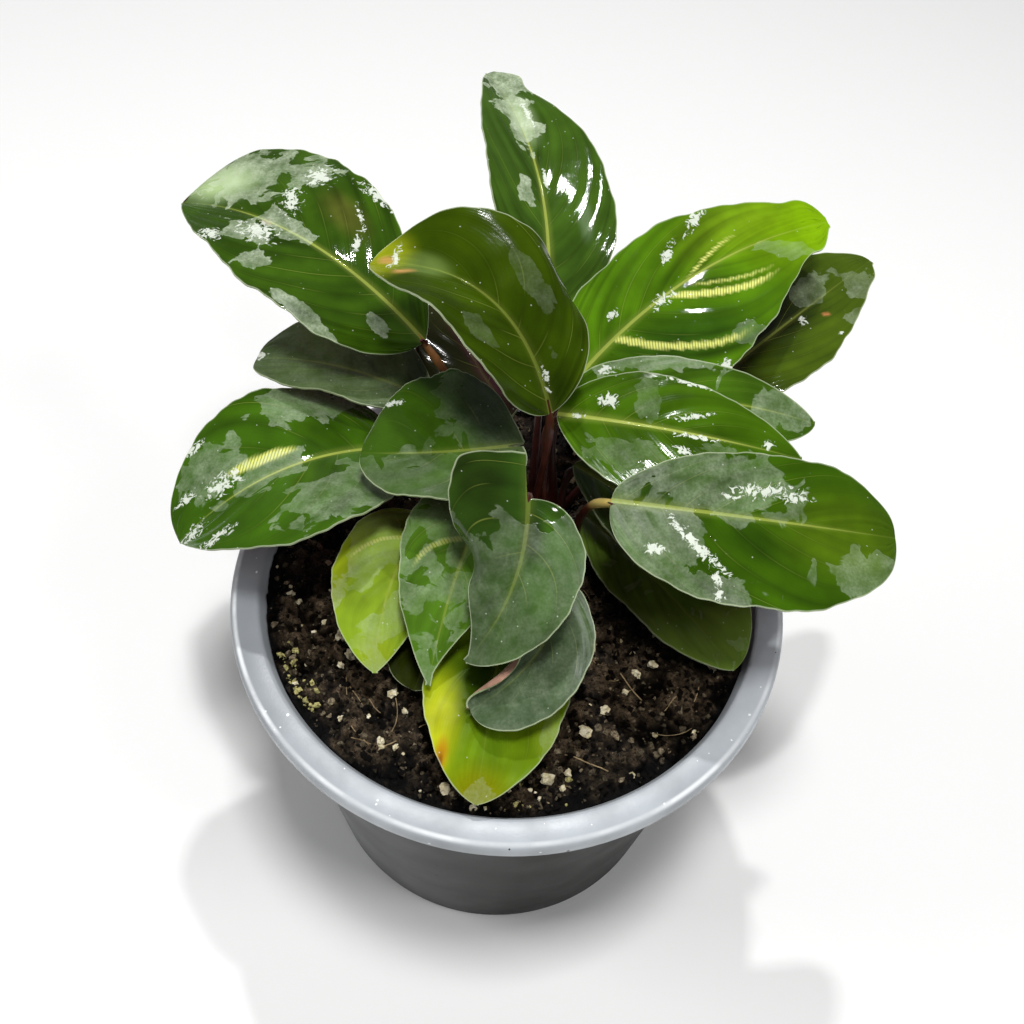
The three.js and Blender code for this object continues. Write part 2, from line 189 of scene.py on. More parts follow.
@dataclass
class Graph:
    """A material with its shader graph."""

    name: str

    def __post_init__(self) -> None:
        """Starts a material whose only nodes are the output and the shader."""
        self.material = bpy.data.materials.new(self.name)
        self.material.use_nodes = True
        self.tree = self.material.node_tree
        self.shader = self.tree.nodes["Principled BSDF"]

    def add(self, kind: str, inputs: dict, out: int = 0, **settings: object) -> Socket:
        """Adds a node with its settings and links.

        Args:
            kind: Node type, without its common first part.
            inputs: Sockets to link or values to set, by socket identifier or number.
            out: Number of the output to return.
            settings: Properties of the node.

        Returns:
            The chosen output.
        """
        node = self.tree.nodes.new(f"ShaderNode{kind}")
        for key, value in settings.items():
            setattr(node, key, value)
        for key, value in inputs.items():
            self.feed(node, key, value)
        return node.outputs[out]

    def feed(self, node: bpy.types.Node, key: str | int, value: object) -> None:
        """Links an output to a node's input, or sets the input's value.

        Args:
            node: The node that has the input.
            key: The input's identifier or number.
            value: An output to link, or a plain value.
        """
        named = {socket.identifier: socket for socket in node.inputs}
        socket = named[key] if isinstance(key, str) else node.inputs[key]
        if isinstance(value, Socket):
            self.tree.links.new(value, socket)
        else:
            socket.default_value = value

    def finish(self, **inputs: object) -> Material:
        """Feeds the shader and hands the material over.

        Args:
            inputs: Shader inputs, with spaces written as underscores.

        Returns:
            The finished material.
        """
        for key, value in inputs.items():
            self.feed(self.shader, key.replace("_", " "), value)
        return self.material


# ---- Finishes ----


@dataclass(frozen=True)
class BladeFinish:
    """Living calathea blade, waxy and glossy where it is clean and wet.

    The cuticle gives sharp reflections on saturated green. Dried hard water leaves a grey-green film
    with ragged edges that scatters light, so those places look pale and satin. The white residue scraps
    are partly real residue and partly painted glints. relief_mm is how far the strands, film, grain,
    soft waves, crust and drops stand up.
    """

    name: str = "calathea_leaf_waxy_upper_side"
    rib: str = "a9b552"
    stripe: str = "dfe27c"
    film: str = "c4d2b4"
    residue_and_glints: str = "e3e9dc"
    edge: str = "c9d3b0"
    clean_roughness: float = 0.06
    film_roughness: float = 0.42
    ior: float = 1.45
    specular: float = 0.5
    mottle_mm: float = 13.0
    rag_mm: float = 7.0
    cloud_mm: float = 4.5
    shred_mm: float = 1.8
    grain_mm: float = 0.7
    swell_mm: float = 6.0
    speck_cell_mm: float = 3.4
    drop_cell_mm: float = 8.0
    rung_mm: float = 0.8
    rib_half_mm: float = 0.66
    tip_half_mm: float = 0.12
    edge_mm: float = 0.45
    band_scale: float = 0.95
    strands_in_band: int = 14
    relief_mm: tuple[float, ...] = (0.003, 0.03, 0.02, 0.1, 0.05, 0.16)
    fields: tuple[str, ...] = ("across_mm", "along", "margin_mm", "vein", "film", "stripe", "residue_and_glints",
                               "rib", "gloss", "banding", "haze", "vein_mm")

    def material(self) -> Material:
        """Builds the blade's material from the fields that each leaf carries.

        Returns:
            The finished material.
        """
        graph = Graph(self.name)
        add = graph.add
        place = add("TexCoord", {}, out=3)
        fields = {name: add("Attribute", {}, out=2, attribute_name=name) for name in self.fields}
        fields["place"] = place
        colour, strand = self.tissue(graph, fields)
        film, cloud = self.film_cover(graph, fields)
        crust_and_glints = self.residue_and_glint_cover(graph, fields)
        grain = add("TexNoise", {"Vector": place, "Scale": 1 / (self.grain_mm * MM), "Detail": 3.0})
        density = add("MapRange", {0: cloud, 1: 0.32, 2: 0.68, 3: 0.06, 4: 0.28})
        grained = add("MapRange", {0: grain, 1: 0.3, 2: 0.7, 3: 0.65, 4: 1.35})
        for factor in (grained, fields["haze"]):
            density = add("Math", {0: density, 1: factor}, operation="MULTIPLY")
        veil = add("Math", {0: film, 1: density}, operation="MULTIPLY", use_clamp=True)

        # Over the film and crust: dust specks a few tenths of a millimetre across, and a pale margin.
        dots = add("TexVoronoi", {"Vector": place, "Scale": 1 / (self.speck_cell_mm * MM)})
        speck = add("MapRange", {0: dots, 1: 0.04, 2: 0.075, 3: 0.4, 4: 0.0})
        line = add("MapRange", {0: fields["margin_mm"], 1: 0.3 * self.edge_mm, 2: self.edge_mm,
                                3: 0.5, 4: 0.0})
        # The residue colour is partly painted glints.
        for share, over in ((veil, self.film), (crust_and_glints, self.residue_and_glints), (speck, self.residue_and_glints),
                            (line, self.edge)):
            colour = add("Mix", {"Factor_Float": share, "A_Color": colour, "B_Color": linear(over)},
                         out=2, data_type="RGBA")

        drop = self.drops(graph, place)
        rough = add("MapRange", {0: film, 3: self.clean_roughness, 4: self.film_roughness})
        varied = add("MapRange", {0: cloud, 1: 0.3, 2: 0.7, 3: 0.8, 4: 1.25})
        wet = add("MapRange", {0: drop, 1: 0.0, 2: 0.1, 3: 1.0, 4: 0.3})
        for factor in (varied, fields["gloss"], wet):
            rough = add("Math", {0: rough, 1: factor}, operation="MULTIPLY")
        swell = add("TexNoise", {"Vector": place, "Scale": 1 / (self.swell_mm * MM), "Detail": 1.0})
        height = 0.0
        for source, amount in zip((strand, film, grain, swell, crust_and_glints, drop), self.relief_mm):
            height = add("Math", {0: source, 1: amount, 2: height}, operation="MULTIPLY_ADD")
        bump = add("Bump", {"Height": height, "Distance": MM, "Strength": 1.0})
        sheen = add("Math", {0: self.specular, 1: fields["gloss"]}, operation="DIVIDE")
        return graph.finish(Base_Color=colour, Roughness=rough, Normal=bump, IOR=self.ior,
                            Specular_IOR_Level=sheen)

    def tissue(self, graph: Graph, fields: dict[str, Socket]) -> tuple[Socket, Socket]:
        """Colours the living tissue: mottling, bands between side veins, strands, stripes and midrib.

        Args:
            graph: The material's graph.
            fields: The leaf's fields and Object coordinates.

        Returns:
            The colour, and the wave of the fine strands.
        """
        add = graph.add
        mottle = add("TexNoise", {"Vector": fields["place"], "Scale": 1 / (self.mottle_mm * MM),
                                  "Detail": 3.0})
        mottled = add("MapRange", {0: mottle, 1: 0.3, 2: 0.7, 3: 0.72, 4: 1.22})
        drawn = add("Math", {0: fields["across_mm"], 1: 0.07}, operation="MULTIPLY")
        along_veins = add("CombineXYZ", {0: fields["vein"], 1: drawn})
        band = add("TexNoise", {"Vector": along_veins, "Scale": self.band_scale, "Detail": 1.0,
                                "Roughness": 0.4})
        fading = add("MapRange", {0: fields["along"], 1: 0.5, 2: 0.85, 3: 1.0, 4: 0.15})
        banded = add("MapRange", {0: band, 1: 0.32, 2: 0.68, 3: -0.5, 4: 0.5})
        banded = add("Math", {0: banded, 1: fading}, operation="MULTIPLY")
        banded = add("Math", {0: banded, 1: fields["banding"], 2: 1.0}, operation="MULTIPLY_ADD")
        shade = add("Math", {0: mottled, 1: banded}, operation="MULTIPLY")

        # Side veins about 7 mm apart: thin paler lines in soft dark furrows of painted shade, fading toward
        # the tip.
        wave = add("Math", {0: fields["vein"], 1: math.pi}, operation="MULTIPLY")
        sine = add("Math", {0: wave}, operation="SINE")
        apart = add("Math", {0: sine}, operation="ABSOLUTE")
        furrow_shade = add("MapRange", {0: apart, 1: 0.0, 2: 0.6, 3: -0.13, 4: 0.04},
                     interpolation_type="SMOOTHSTEP")
        furrow_shade = add("Math", {0: furrow_shade, 1: fading, 2: 1.0}, operation="MULTIPLY_ADD")
        thread = add("MapRange", {0: apart, 1: 0.02, 2: 0.09, 3: 0.24, 4: 0.0})
        shown = add("MapRange", {0: band, 1: 0.45, 2: 0.6})
        for factor in (shown, fading):
            thread = add("Math", {0: thread, 1: factor}, operation="MULTIPLY")

        # Fine strands between them, and pale yellow dashes across the stripes.
        wave = add("Math", {0: fields["vein"], 1: self.strands_in_band * math.pi}, operation="MULTIPLY")
        strand = add("Math", {0: wave}, operation="SINE")
        strand_shade = add("MapRange", {0: strand, 1: -1.0, 2: 1.0, 3: 0.985, 4: 1.015})
        wave = add("Math", {0: fields["vein_mm"], 1: FULL_TURN / self.rung_mm}, operation="MULTIPLY")
        rungs = add("Math", {0: wave}, operation="SINE")
        dash = add("MapRange", {0: rungs, 1: -0.9, 2: 0.0, 3: 0.35, 4: 1.0})
        striped = add("Math", {0: dash, 1: fields["stripe"]}, operation="MULTIPLY")

        # Midrib, narrower toward the tip, with a paler glow beside it.
        off = add("Math", {0: fields["across_mm"]}, operation="ABSOLUTE")
        half = add("MapRange", {0: fields["along"], 1: 0.0, 2: 0.92, 3: self.rib_half_mm,
                                4: self.tip_half_mm})
        within = add("Math", {0: off, 1: half}, operation="DIVIDE")
        core, glow = (add("MapRange", {0: within, 1: near, 2: far, 3: most, 4: 0.0},
                          interpolation_type="SMOOTHSTEP")
                      for near, far, most in ((0.6, 1.3, 0.85), (0.0, 4.5, 0.25)))
        rib = add("Math", {0: core, 1: glow}, operation="MAXIMUM")
        fade = add("MapRange", {0: fields["along"], 1: 0.6, 2: 0.95, 3: 1.0, 4: 0.15})
        for factor in (fade, fields["rib"]):
            rib = add("Math", {0: rib, 1: factor}, operation="MULTIPLY")
        colour = add("Attribute", {}, attribute_name="blade_colour")
        for share, over, way in ((1.0, shade, "MULTIPLY"), (1.0, furrow_shade, "MULTIPLY"),
                                 (thread, linear(self.rib), "MIX"), (1.0, strand_shade, "MULTIPLY"),
                                 (striped, linear(self.stripe), "MIX"), (rib, linear(self.rib), "MIX")):
            colour = add("Mix", {"Factor_Float": share, "A_Color": colour, "B_Color": over},
                         out=2, data_type="RGBA", blend_type=way)
        return colour, strand

    def film_cover(self, graph: Graph, fields: dict[str, Socket]) -> tuple[Socket, Socket]:
        """Says where dried film lies, with ragged edges.

        Args:
            graph: The material's graph.
            fields: The leaf's fields and Object coordinates.

        Returns:
            The film's cover and its cloudiness.
        """
        add, place = graph.add, fields["place"]
        rag = add("TexNoise", {"Vector": place, "Scale": 1 / (self.rag_mm * MM), "Detail": 3.0,
                               "Roughness": 0.5, "Distortion": 0.6})
        ragged = add("MapRange", {0: rag, 1: 0.3, 2: 0.7, 3: -0.5, 4: 0.5})
        reach = add("Math", {0: fields["film"], 1: ragged}, operation="ADD")
        film = add("MapRange", {0: reach, 1: 0.0, 2: 0.1}, interpolation_type="SMOOTHSTEP")
        cloud = add("TexNoise", {"Vector": place, "Scale": 1 / (self.cloud_mm * MM), "Detail": 5.0,
                                 "Roughness": 0.6})
        return film, cloud

    def residue_and_glint_cover(self, graph: Graph, fields: dict[str, Socket]) -> Socket:
        """Says where thicker white residue and painted glints lie, in torn scraps.

        Args:
            graph: The material's graph.
            fields: The leaf's fields and Object coordinates.

        Returns:
            The residue's cover.
        """
        add = graph.add
        shred = add("TexNoise", {"Vector": fields["place"], "Scale": 1 / (self.shred_mm * MM),
                                 "Detail": 4.0, "Roughness": 0.6, "Distortion": 1.2})
        torn = add("MapRange", {0: shred, 1: 0.36, 2: 0.64, 3: -0.9, 4: 0.4})
        crust_and_glints = add("Math", {0: fields["residue_and_glints"], 1: torn}, operation="ADD")
        return add("MapRange", {0: crust_and_glints, 1: 0.0, 2: 0.3, 3: 0.0, 4: 0.85})

    def drops(self, graph: Graph, place: Socket) -> Socket:
        """Rounds up a few small water drops, about a millimetre across.

        Args:
            graph: The material's graph.
            place: Object coordinates.

        Returns:
            The drops' height, 1 at the top.
        """
        add = graph.add
        away, tint = (add("TexVoronoi", {"Vector": place, "Scale": 1 / (self.drop_cell_mm * MM)}, out=out)
                      for out in (0, 1))
        luck = add("SeparateXYZ", {0: tint})
        size = add("MapRange", {0: luck, 1: 0.4, 2: 1.0, 3: 0.001, 4: 0.085})
        near = add("Math", {0: away, 1: size}, operation="DIVIDE")
        square = add("Math", {0: near, 1: near}, operation="MULTIPLY")
        return add("Math", {0: 1.0, 1: square}, operation="SUBTRACT", use_clamp=True)


@dataclass(frozen=True)
class PlainFinish:
    """A quieter part of the plant: an underside, cut edge or stalk.

    Its skin is thin wax over mottled tissue, which gives a soft shine and uneven colour. carried names
    the vertex colour that tints it.
    """

    name: str
    low: str
    high: str
    roughness: float
    carried: str = ""
    mottle_mm: float = 4.0
    grain_mm: float = 0.8
    relief_mm: float = 0.05

    def material(self) -> Material:
        """Builds the material.

        Returns:
            The finished material.
        """
        graph = Graph(self.name)
        add = graph.add
        place = add("TexCoord", {}, out=3)
        mottle = add("TexNoise", {"Vector": place, "Scale": 1 / (self.mottle_mm * MM), "Detail": 4.0})
        share = add("MapRange", {0: mottle, 1: 0.3, 2: 0.7})
        colour = add("Mix", {"Factor_Float": share, "A_Color": linear(self.low),
                             "B_Color": linear(self.high)}, out=2, data_type="RGBA")
        if self.carried:
            own = add("Attribute", {}, attribute_name=self.carried)
            colour = add("Mix", {"Factor_Float": 1.0, "A_Color": colour, "B_Color": own},
                         out=2, data_type="RGBA", blend_type="MULTIPLY")
        grain = add("TexNoise", {"Vector": place, "Scale": 1 / (self.grain_mm * MM), "Detail": 2.0})
        bump = add("Bump", {"Height": grain, "Distance": self.relief_mm * MM, "Strength": 1.0})
        return graph.finish(Base_Color=colour, Roughness=self.roughness, Normal=bump)


@dataclass(frozen=True)
class PotFinish:
    """Injection-moulded polypropylene: satin, a little cloudy, dusty on the rim and specked all over, with
    painted light and shade.

    The rim's painted shade and the wall's painted light each start and are full at the places given, from the
    pot's middle to the left.
    The rim edge's painted highlight starts, is full, starts to fade and ends at the radii given, from the
    pot's axis.
    Each kind of speck has its cell in mm, the noise and radius it runs between, and its colour.
    """

    name: str = "polypropylene_moulded_grey"
    rim: str = "bbc1c6"
    rim_cloud: str = "a5aaaf"
    rim_painted_shade: str = "85898d"
    # Painted highlight colour of the rim's outer edge.
    edge: str = "eef1f3"
    # Painted shade: the wall's colours are the rim's grey plastic darkened to how it looks in shade under the
    # rim.
    wall: str = "22211f"
    wall_cloud: str = "2e2d2b"
    # Painted light colour of the wall's left side.
    wall_painted_light: str = "868787"
    lip_mm: float = 105.6
    fade_mm: float = 1.2
    cloud_mm: float = 16.0
    smear_mm: float = 20.0
    grain_mm: float = 0.6
    relief_mm: float = 0.03
    shaded_left_mm: tuple[float, float] = (-35, -68)
    lit_left_mm: tuple[float, float] = (10.0, -52.0)
    highlight_mm: tuple[float, ...] = (72.9, 73.5, 73.9, 74.5)
    chalk: tuple = (3.0, (0.48, 0.62, 0.0, 0.15), "eef0f0")
    grime: tuple = (7.0, (0.4, 0.62, 0.0, 0.07), "3a332b")
    wall_gloss: float = 0.03
    rim_gloss: float = 0.5

    def material(self) -> Material:
        """Builds the material.

        Returns:
            The finished material.
        """
        graph = Graph(self.name)
        add = graph.add
        place = add("TexCoord", {}, out=3)
        cloud = add("TexNoise", {"Vector": place, "Scale": 1 / (self.cloud_mm * MM), "Detail": 5.0})
        share = add("MapRange", {0: cloud, 1: 0.35, 2: 0.65})
        sideways, depth, height = (add("SeparateXYZ", {0: place}, out=out) for out in range(3))
        # Painted shade: the rim darkens toward its left side.
        shaded_left = add("MapRange", {0: sideways, 1: self.shaded_left_mm[0] * MM, 2: self.shaded_left_mm[1] * MM,
                                3: 0.0, 4: 0.75})

        # Painted highlight: a pale line along the rounding of the rim's outer edge, broken up by the cloud.
        level = add("CombineXYZ", {0: sideways, 1: depth})
        away = add("VectorMath", {0: level}, out=1, operation="LENGTH")
        start, full, fade, end = (radius * MM for radius in self.highlight_mm)
        outer = add("MapRange", {0: away, 1: end, 2: fade})
        edge_highlight = add("MapRange", {0: away, 1: start, 2: full})
        highlight_break = add("MapRange", {0: cloud, 1: 0.4, 2: 0.6, 3: 0.35, 4: 0.95})
        for factor in (outer, highlight_break):
            edge_highlight = add("Math", {0: edge_highlight, 1: factor}, operation="MULTIPLY")

        # Painted light: the left side of the wall is paler, as if lit from the left, broken up by a smear of
        # noise.
        facing = add("MapRange", {0: sideways, 1: self.lit_left_mm[0] * MM, 2: self.lit_left_mm[1] * MM})
        smear = add("TexNoise", {"Vector": place, "Scale": 1 / (self.smear_mm * MM), "Detail": 4.0})
        smear = add("MapRange", {0: smear, 1: 0.3, 2: 0.7, 3: 0.68, 4: 0.92})
        lit_left = add("Math", {0: facing, 1: smear}, operation="MULTIPLY")
        rim, wall = linear(self.rim), linear(self.wall)
        for share_of, over in ((share, self.rim_cloud), (shaded_left, self.rim_painted_shade), (edge_highlight, self.edge)):
            rim = add("Mix", {"Factor_Float": share_of, "A_Color": rim, "B_Color": linear(over)},
                      out=2, data_type="RGBA")
        for share_of, over in ((share, self.wall_cloud), (lit_left, self.wall_painted_light)):
            wall = add("Mix", {"Factor_Float": share_of, "A_Color": wall, "B_Color": linear(over)},
                       out=2, data_type="RGBA")
        # Painted shade: below the lip the pot takes the darkened wall grey.
        above = add("MapRange", {0: height, 1: (self.lip_mm - self.fade_mm) * MM, 2: self.lip_mm * MM})
        colour = add("Mix", {"Factor_Float": above, "A_Color": wall, "B_Color": rim},
                     out=2, data_type="RGBA")
        for (cell, limits, tone), where in ((self.chalk, above), (self.grime, 1.0)):
            dots = add("TexVoronoi", {"Vector": place, "Scale": 1 / (cell * MM)})
            size = add("TexNoise", {"Vector": place, "Scale": 1 / (cell * MM)})
            limit = add("MapRange", {0: size, **dict(enumerate(limits, 1))})
            limit = add("Math", {0: limit, 1: where}, operation="MULTIPLY")
            speck = add("Math", {0: dots, 1: limit}, operation="LESS_THAN")
            colour = add("Mix", {"Factor_Float": speck, "A_Color": colour, "B_Color": linear(tone)},
                         out=2, data_type="RGBA")
        grain = add("TexNoise", {"Vector": place, "Scale": 1 / (self.grain_mm * MM), "Detail": 3.0})
        rough = add("MapRange", {0: cloud, 1: 0.3, 2: 0.7, 3: 0.29, 4: 0.42})
        bump = add("Bump", {"Height": grain, "Distance": self.relief_mm * MM, "Strength": 1.0})
        sheen = add("MapRange", {0: above, 3: self.wall_gloss, 4: self.rim_gloss})
        return graph.finish(Base_Color=colour, Roughness=rough, Normal=bump, Specular_IOR_Level=sheen)


@dataclass(frozen=True)
class EarthFinish:
    """Crumbly matter that scatters light, so it looks dry and dull: soil, perlite, roots or moss.

    tone_power, where it isn't 0, darkens what the piece's own tone says is low or small; on the bed, whose
    tone follows height, that is painted shade in the hollows.
    """

    name: str
    dark: str
    light: str
    patch_mm: float
    grain_mm: float
    relief_mm: float
    roughness: float = 0.95
    tone_power: float = 0.0
    tone_lift: float = 0.12
    contrast: float = 0.16
    clump_mm: float = 6.0
    clump_low: float = 1.0
    clump_high: float = 1.2

    def material(self) -> Material:
        """Builds the material.

        Returns:
            The finished material.
        """
        graph = Graph(self.name)
        add = graph.add
        place = add("TexCoord", {}, out=3)
        patch = add("TexNoise", {"Vector": place, "Scale": 1 / (self.patch_mm * MM), "Detail": 5.0,
                                 "Roughness": 0.75})
        share = add("MapRange", {0: patch, 1: 0.5 - self.contrast, 2: 0.5 + self.contrast})
        if self.tone_power:
            tone = add("Attribute", {}, out=2, attribute_name="tone")
            tone = add("Math", {0: tone, 1: self.tone_power}, operation="POWER")
            share = add("Math", {0: share, 1: self.tone_lift}, operation="ADD")
            share = add("Math", {0: share, 1: tone}, operation="MULTIPLY", use_clamp=True)
        clump = add("TexNoise", {"Vector": place, "Scale": 1 / (self.clump_mm * MM), "Detail": 2.0})
        shade = add("MapRange", {0: clump, 1: 0.35, 2: 0.65, 3: self.clump_low, 4: self.clump_high})
        colour = linear(self.dark)
        for amount, over, way in ((share, linear(self.light), "MIX"), (1.0, shade, "MULTIPLY")):
            colour = add("Mix", {"Factor_Float": amount, "A_Color": colour, "B_Color": over},
                         out=2, data_type="RGBA", blend_type=way)
        grain = add("TexNoise", {"Vector": place, "Scale": 1 / (self.grain_mm * MM), "Detail": 4.0,
                                 "Roughness": 0.7})
        bump = add("Bump", {"Height": grain, "Distance": self.relief_mm * MM, "Strength": 1.0})
        return graph.finish(Base_Color=colour, Roughness=self.roughness, Normal=bump)


# ---- Leaves ----


@dataclass(frozen=True)
class Turn:
    """A stretch of margin rolled over: its angle, its place and spread along, and where it starts across."""

    angle: float = 0.0
    at: float = 0.5
    spread: float = 0.1
    edge: float = 0.6


@dataclass(frozen=True)
class Half:
    """One half of a blade, from the midrib to the margin.

    width is the widest half-width; full and point say how round the base and how sharp the tip are;
    fold is the angle up from the blade's plane and curl the further angle at the margin; lobe is how
    far the base reaches back past the joint; blunt is how far the tip is rounded out.
    """

    width: float
    full: float
    point: float
    fold: float
    curl: float
    lobe: float = 0.0
    turn: Turn = Turn()
    blunt: float = 0.0
    blunt_at: float = 0.95
    blunt_spread: float = 0.05
    least: float = 0.7
    steps: int = 10

    def reach(self, along: Array) -> Array:
        """Gives the half-width at each place along the blade.

        Args:
            along: Places from the base, 0, to the tip, 1.

        Returns:
            Half-widths in millimetres.
        """
        widest = self.full / (self.full + self.point)
        peak = widest**self.full * (1 - widest) ** self.point
        rounded = self.blunt * np.exp(-(((along - self.blunt_at) / self.blunt_spread) ** 2))
        shape = self.width * along**self.full * (1 - along) ** self.point / peak
        return np.maximum(shape, self.least) + rounded

    def section(self, along: Array, share: Array) -> tuple[Array, Array, Array]:
        """Walks from the midrib toward the margin.

        Args:
            along: Places from the base to the tip.
            share: Places from the midrib, 0, to the margin, 1.

        Returns:
            How far out, how high and how far back the blade is there.
        """
        reach = self.reach(along)
        turned = self.turn.angle * np.exp(-(((along - self.turn.at) / self.turn.spread) ** 2))
        out = np.zeros_like(along)
        high = np.zeros_like(along)
        for step in range(self.steps):
            here = share * (step + 0.5) / self.steps
            angle = np.radians(self.fold + self.curl * here + turned * smooth(here, self.turn.edge, 1))
            out += reach * np.cos(angle) * share / self.steps
            high += reach * np.sin(angle) * share / self.steps
        return out, high, self.lobe * (1 - along) ** 3 * share**1.5


@dataclass(frozen=True)
class Patch:
    """A place on a blade: where its middle is along and across, and its half length and half width.

    across runs from -1 at the left margin to 1 at the right one. lean turns the patch, in degrees, so
    that its long side follows a side vein. A strength below 0 keeps the place clean. colour is used
    only where the patch is a wash of colour.
    """

    along: float
    across: float
    long: float
    wide: float
    lean: float = 0.0
    strength: float = 1.0
    colour: str = ""


@dataclass(frozen=True)
class Streak:
    """A pale stripe along a side vein.

    start is where the vein leaves the midrib; side is -1 on the left half and 1 on the right one; inner
    and outer are where the stripe starts and ends between midrib and margin; wide is its half width.
    """

    start: float
    side: int
    inner: float
    outer: float
    wide: float
    strength: float = 1.0


@dataclass(frozen=True)
class Leaf:
    """One leaf: its stalk's foot, its midrib, its two halves and the marks on it.

    foot is where the stalk leaves the soil; base and tip are the ends of the midrib, which arches rise
    above and bow to the right of the line between them; roll is how far the right half dips at the
    base and at the tip. filmed is how near the rest of the blade is to being filmed; rib, gloss,
    banding and haze are strengths; frill and wave are how uneven and how wavy the margin is. Some
    residue patches are painted glints, and some washes are painted shadow, shade and sheen.
    """

    name: str
    colour: str
    foot: tuple[float, float]
    base: Point
    tip: Point
    rise: float
    bow: float
    roll: tuple[float, float]
    left: Half
    right: Half
    film: tuple[Patch, ...] = ()
    residue_and_glints: tuple[Patch, ...] = ()
    stripes: tuple[Patch, ...] = ()
    streaks: tuple[Streak, ...] = ()
    washes: tuple[Patch, ...] = ()
    filmed: float = -0.75
    rib: float = 0.85
    gloss: float = 1.0
    banding: float = 0.6
    haze: float = 1.0
    frill: float = 0.05
    wave: float = 1.0
    joint: str = "4a2012"
    back: str = "6b3038"
    slot: Slot = Slot.LEAF


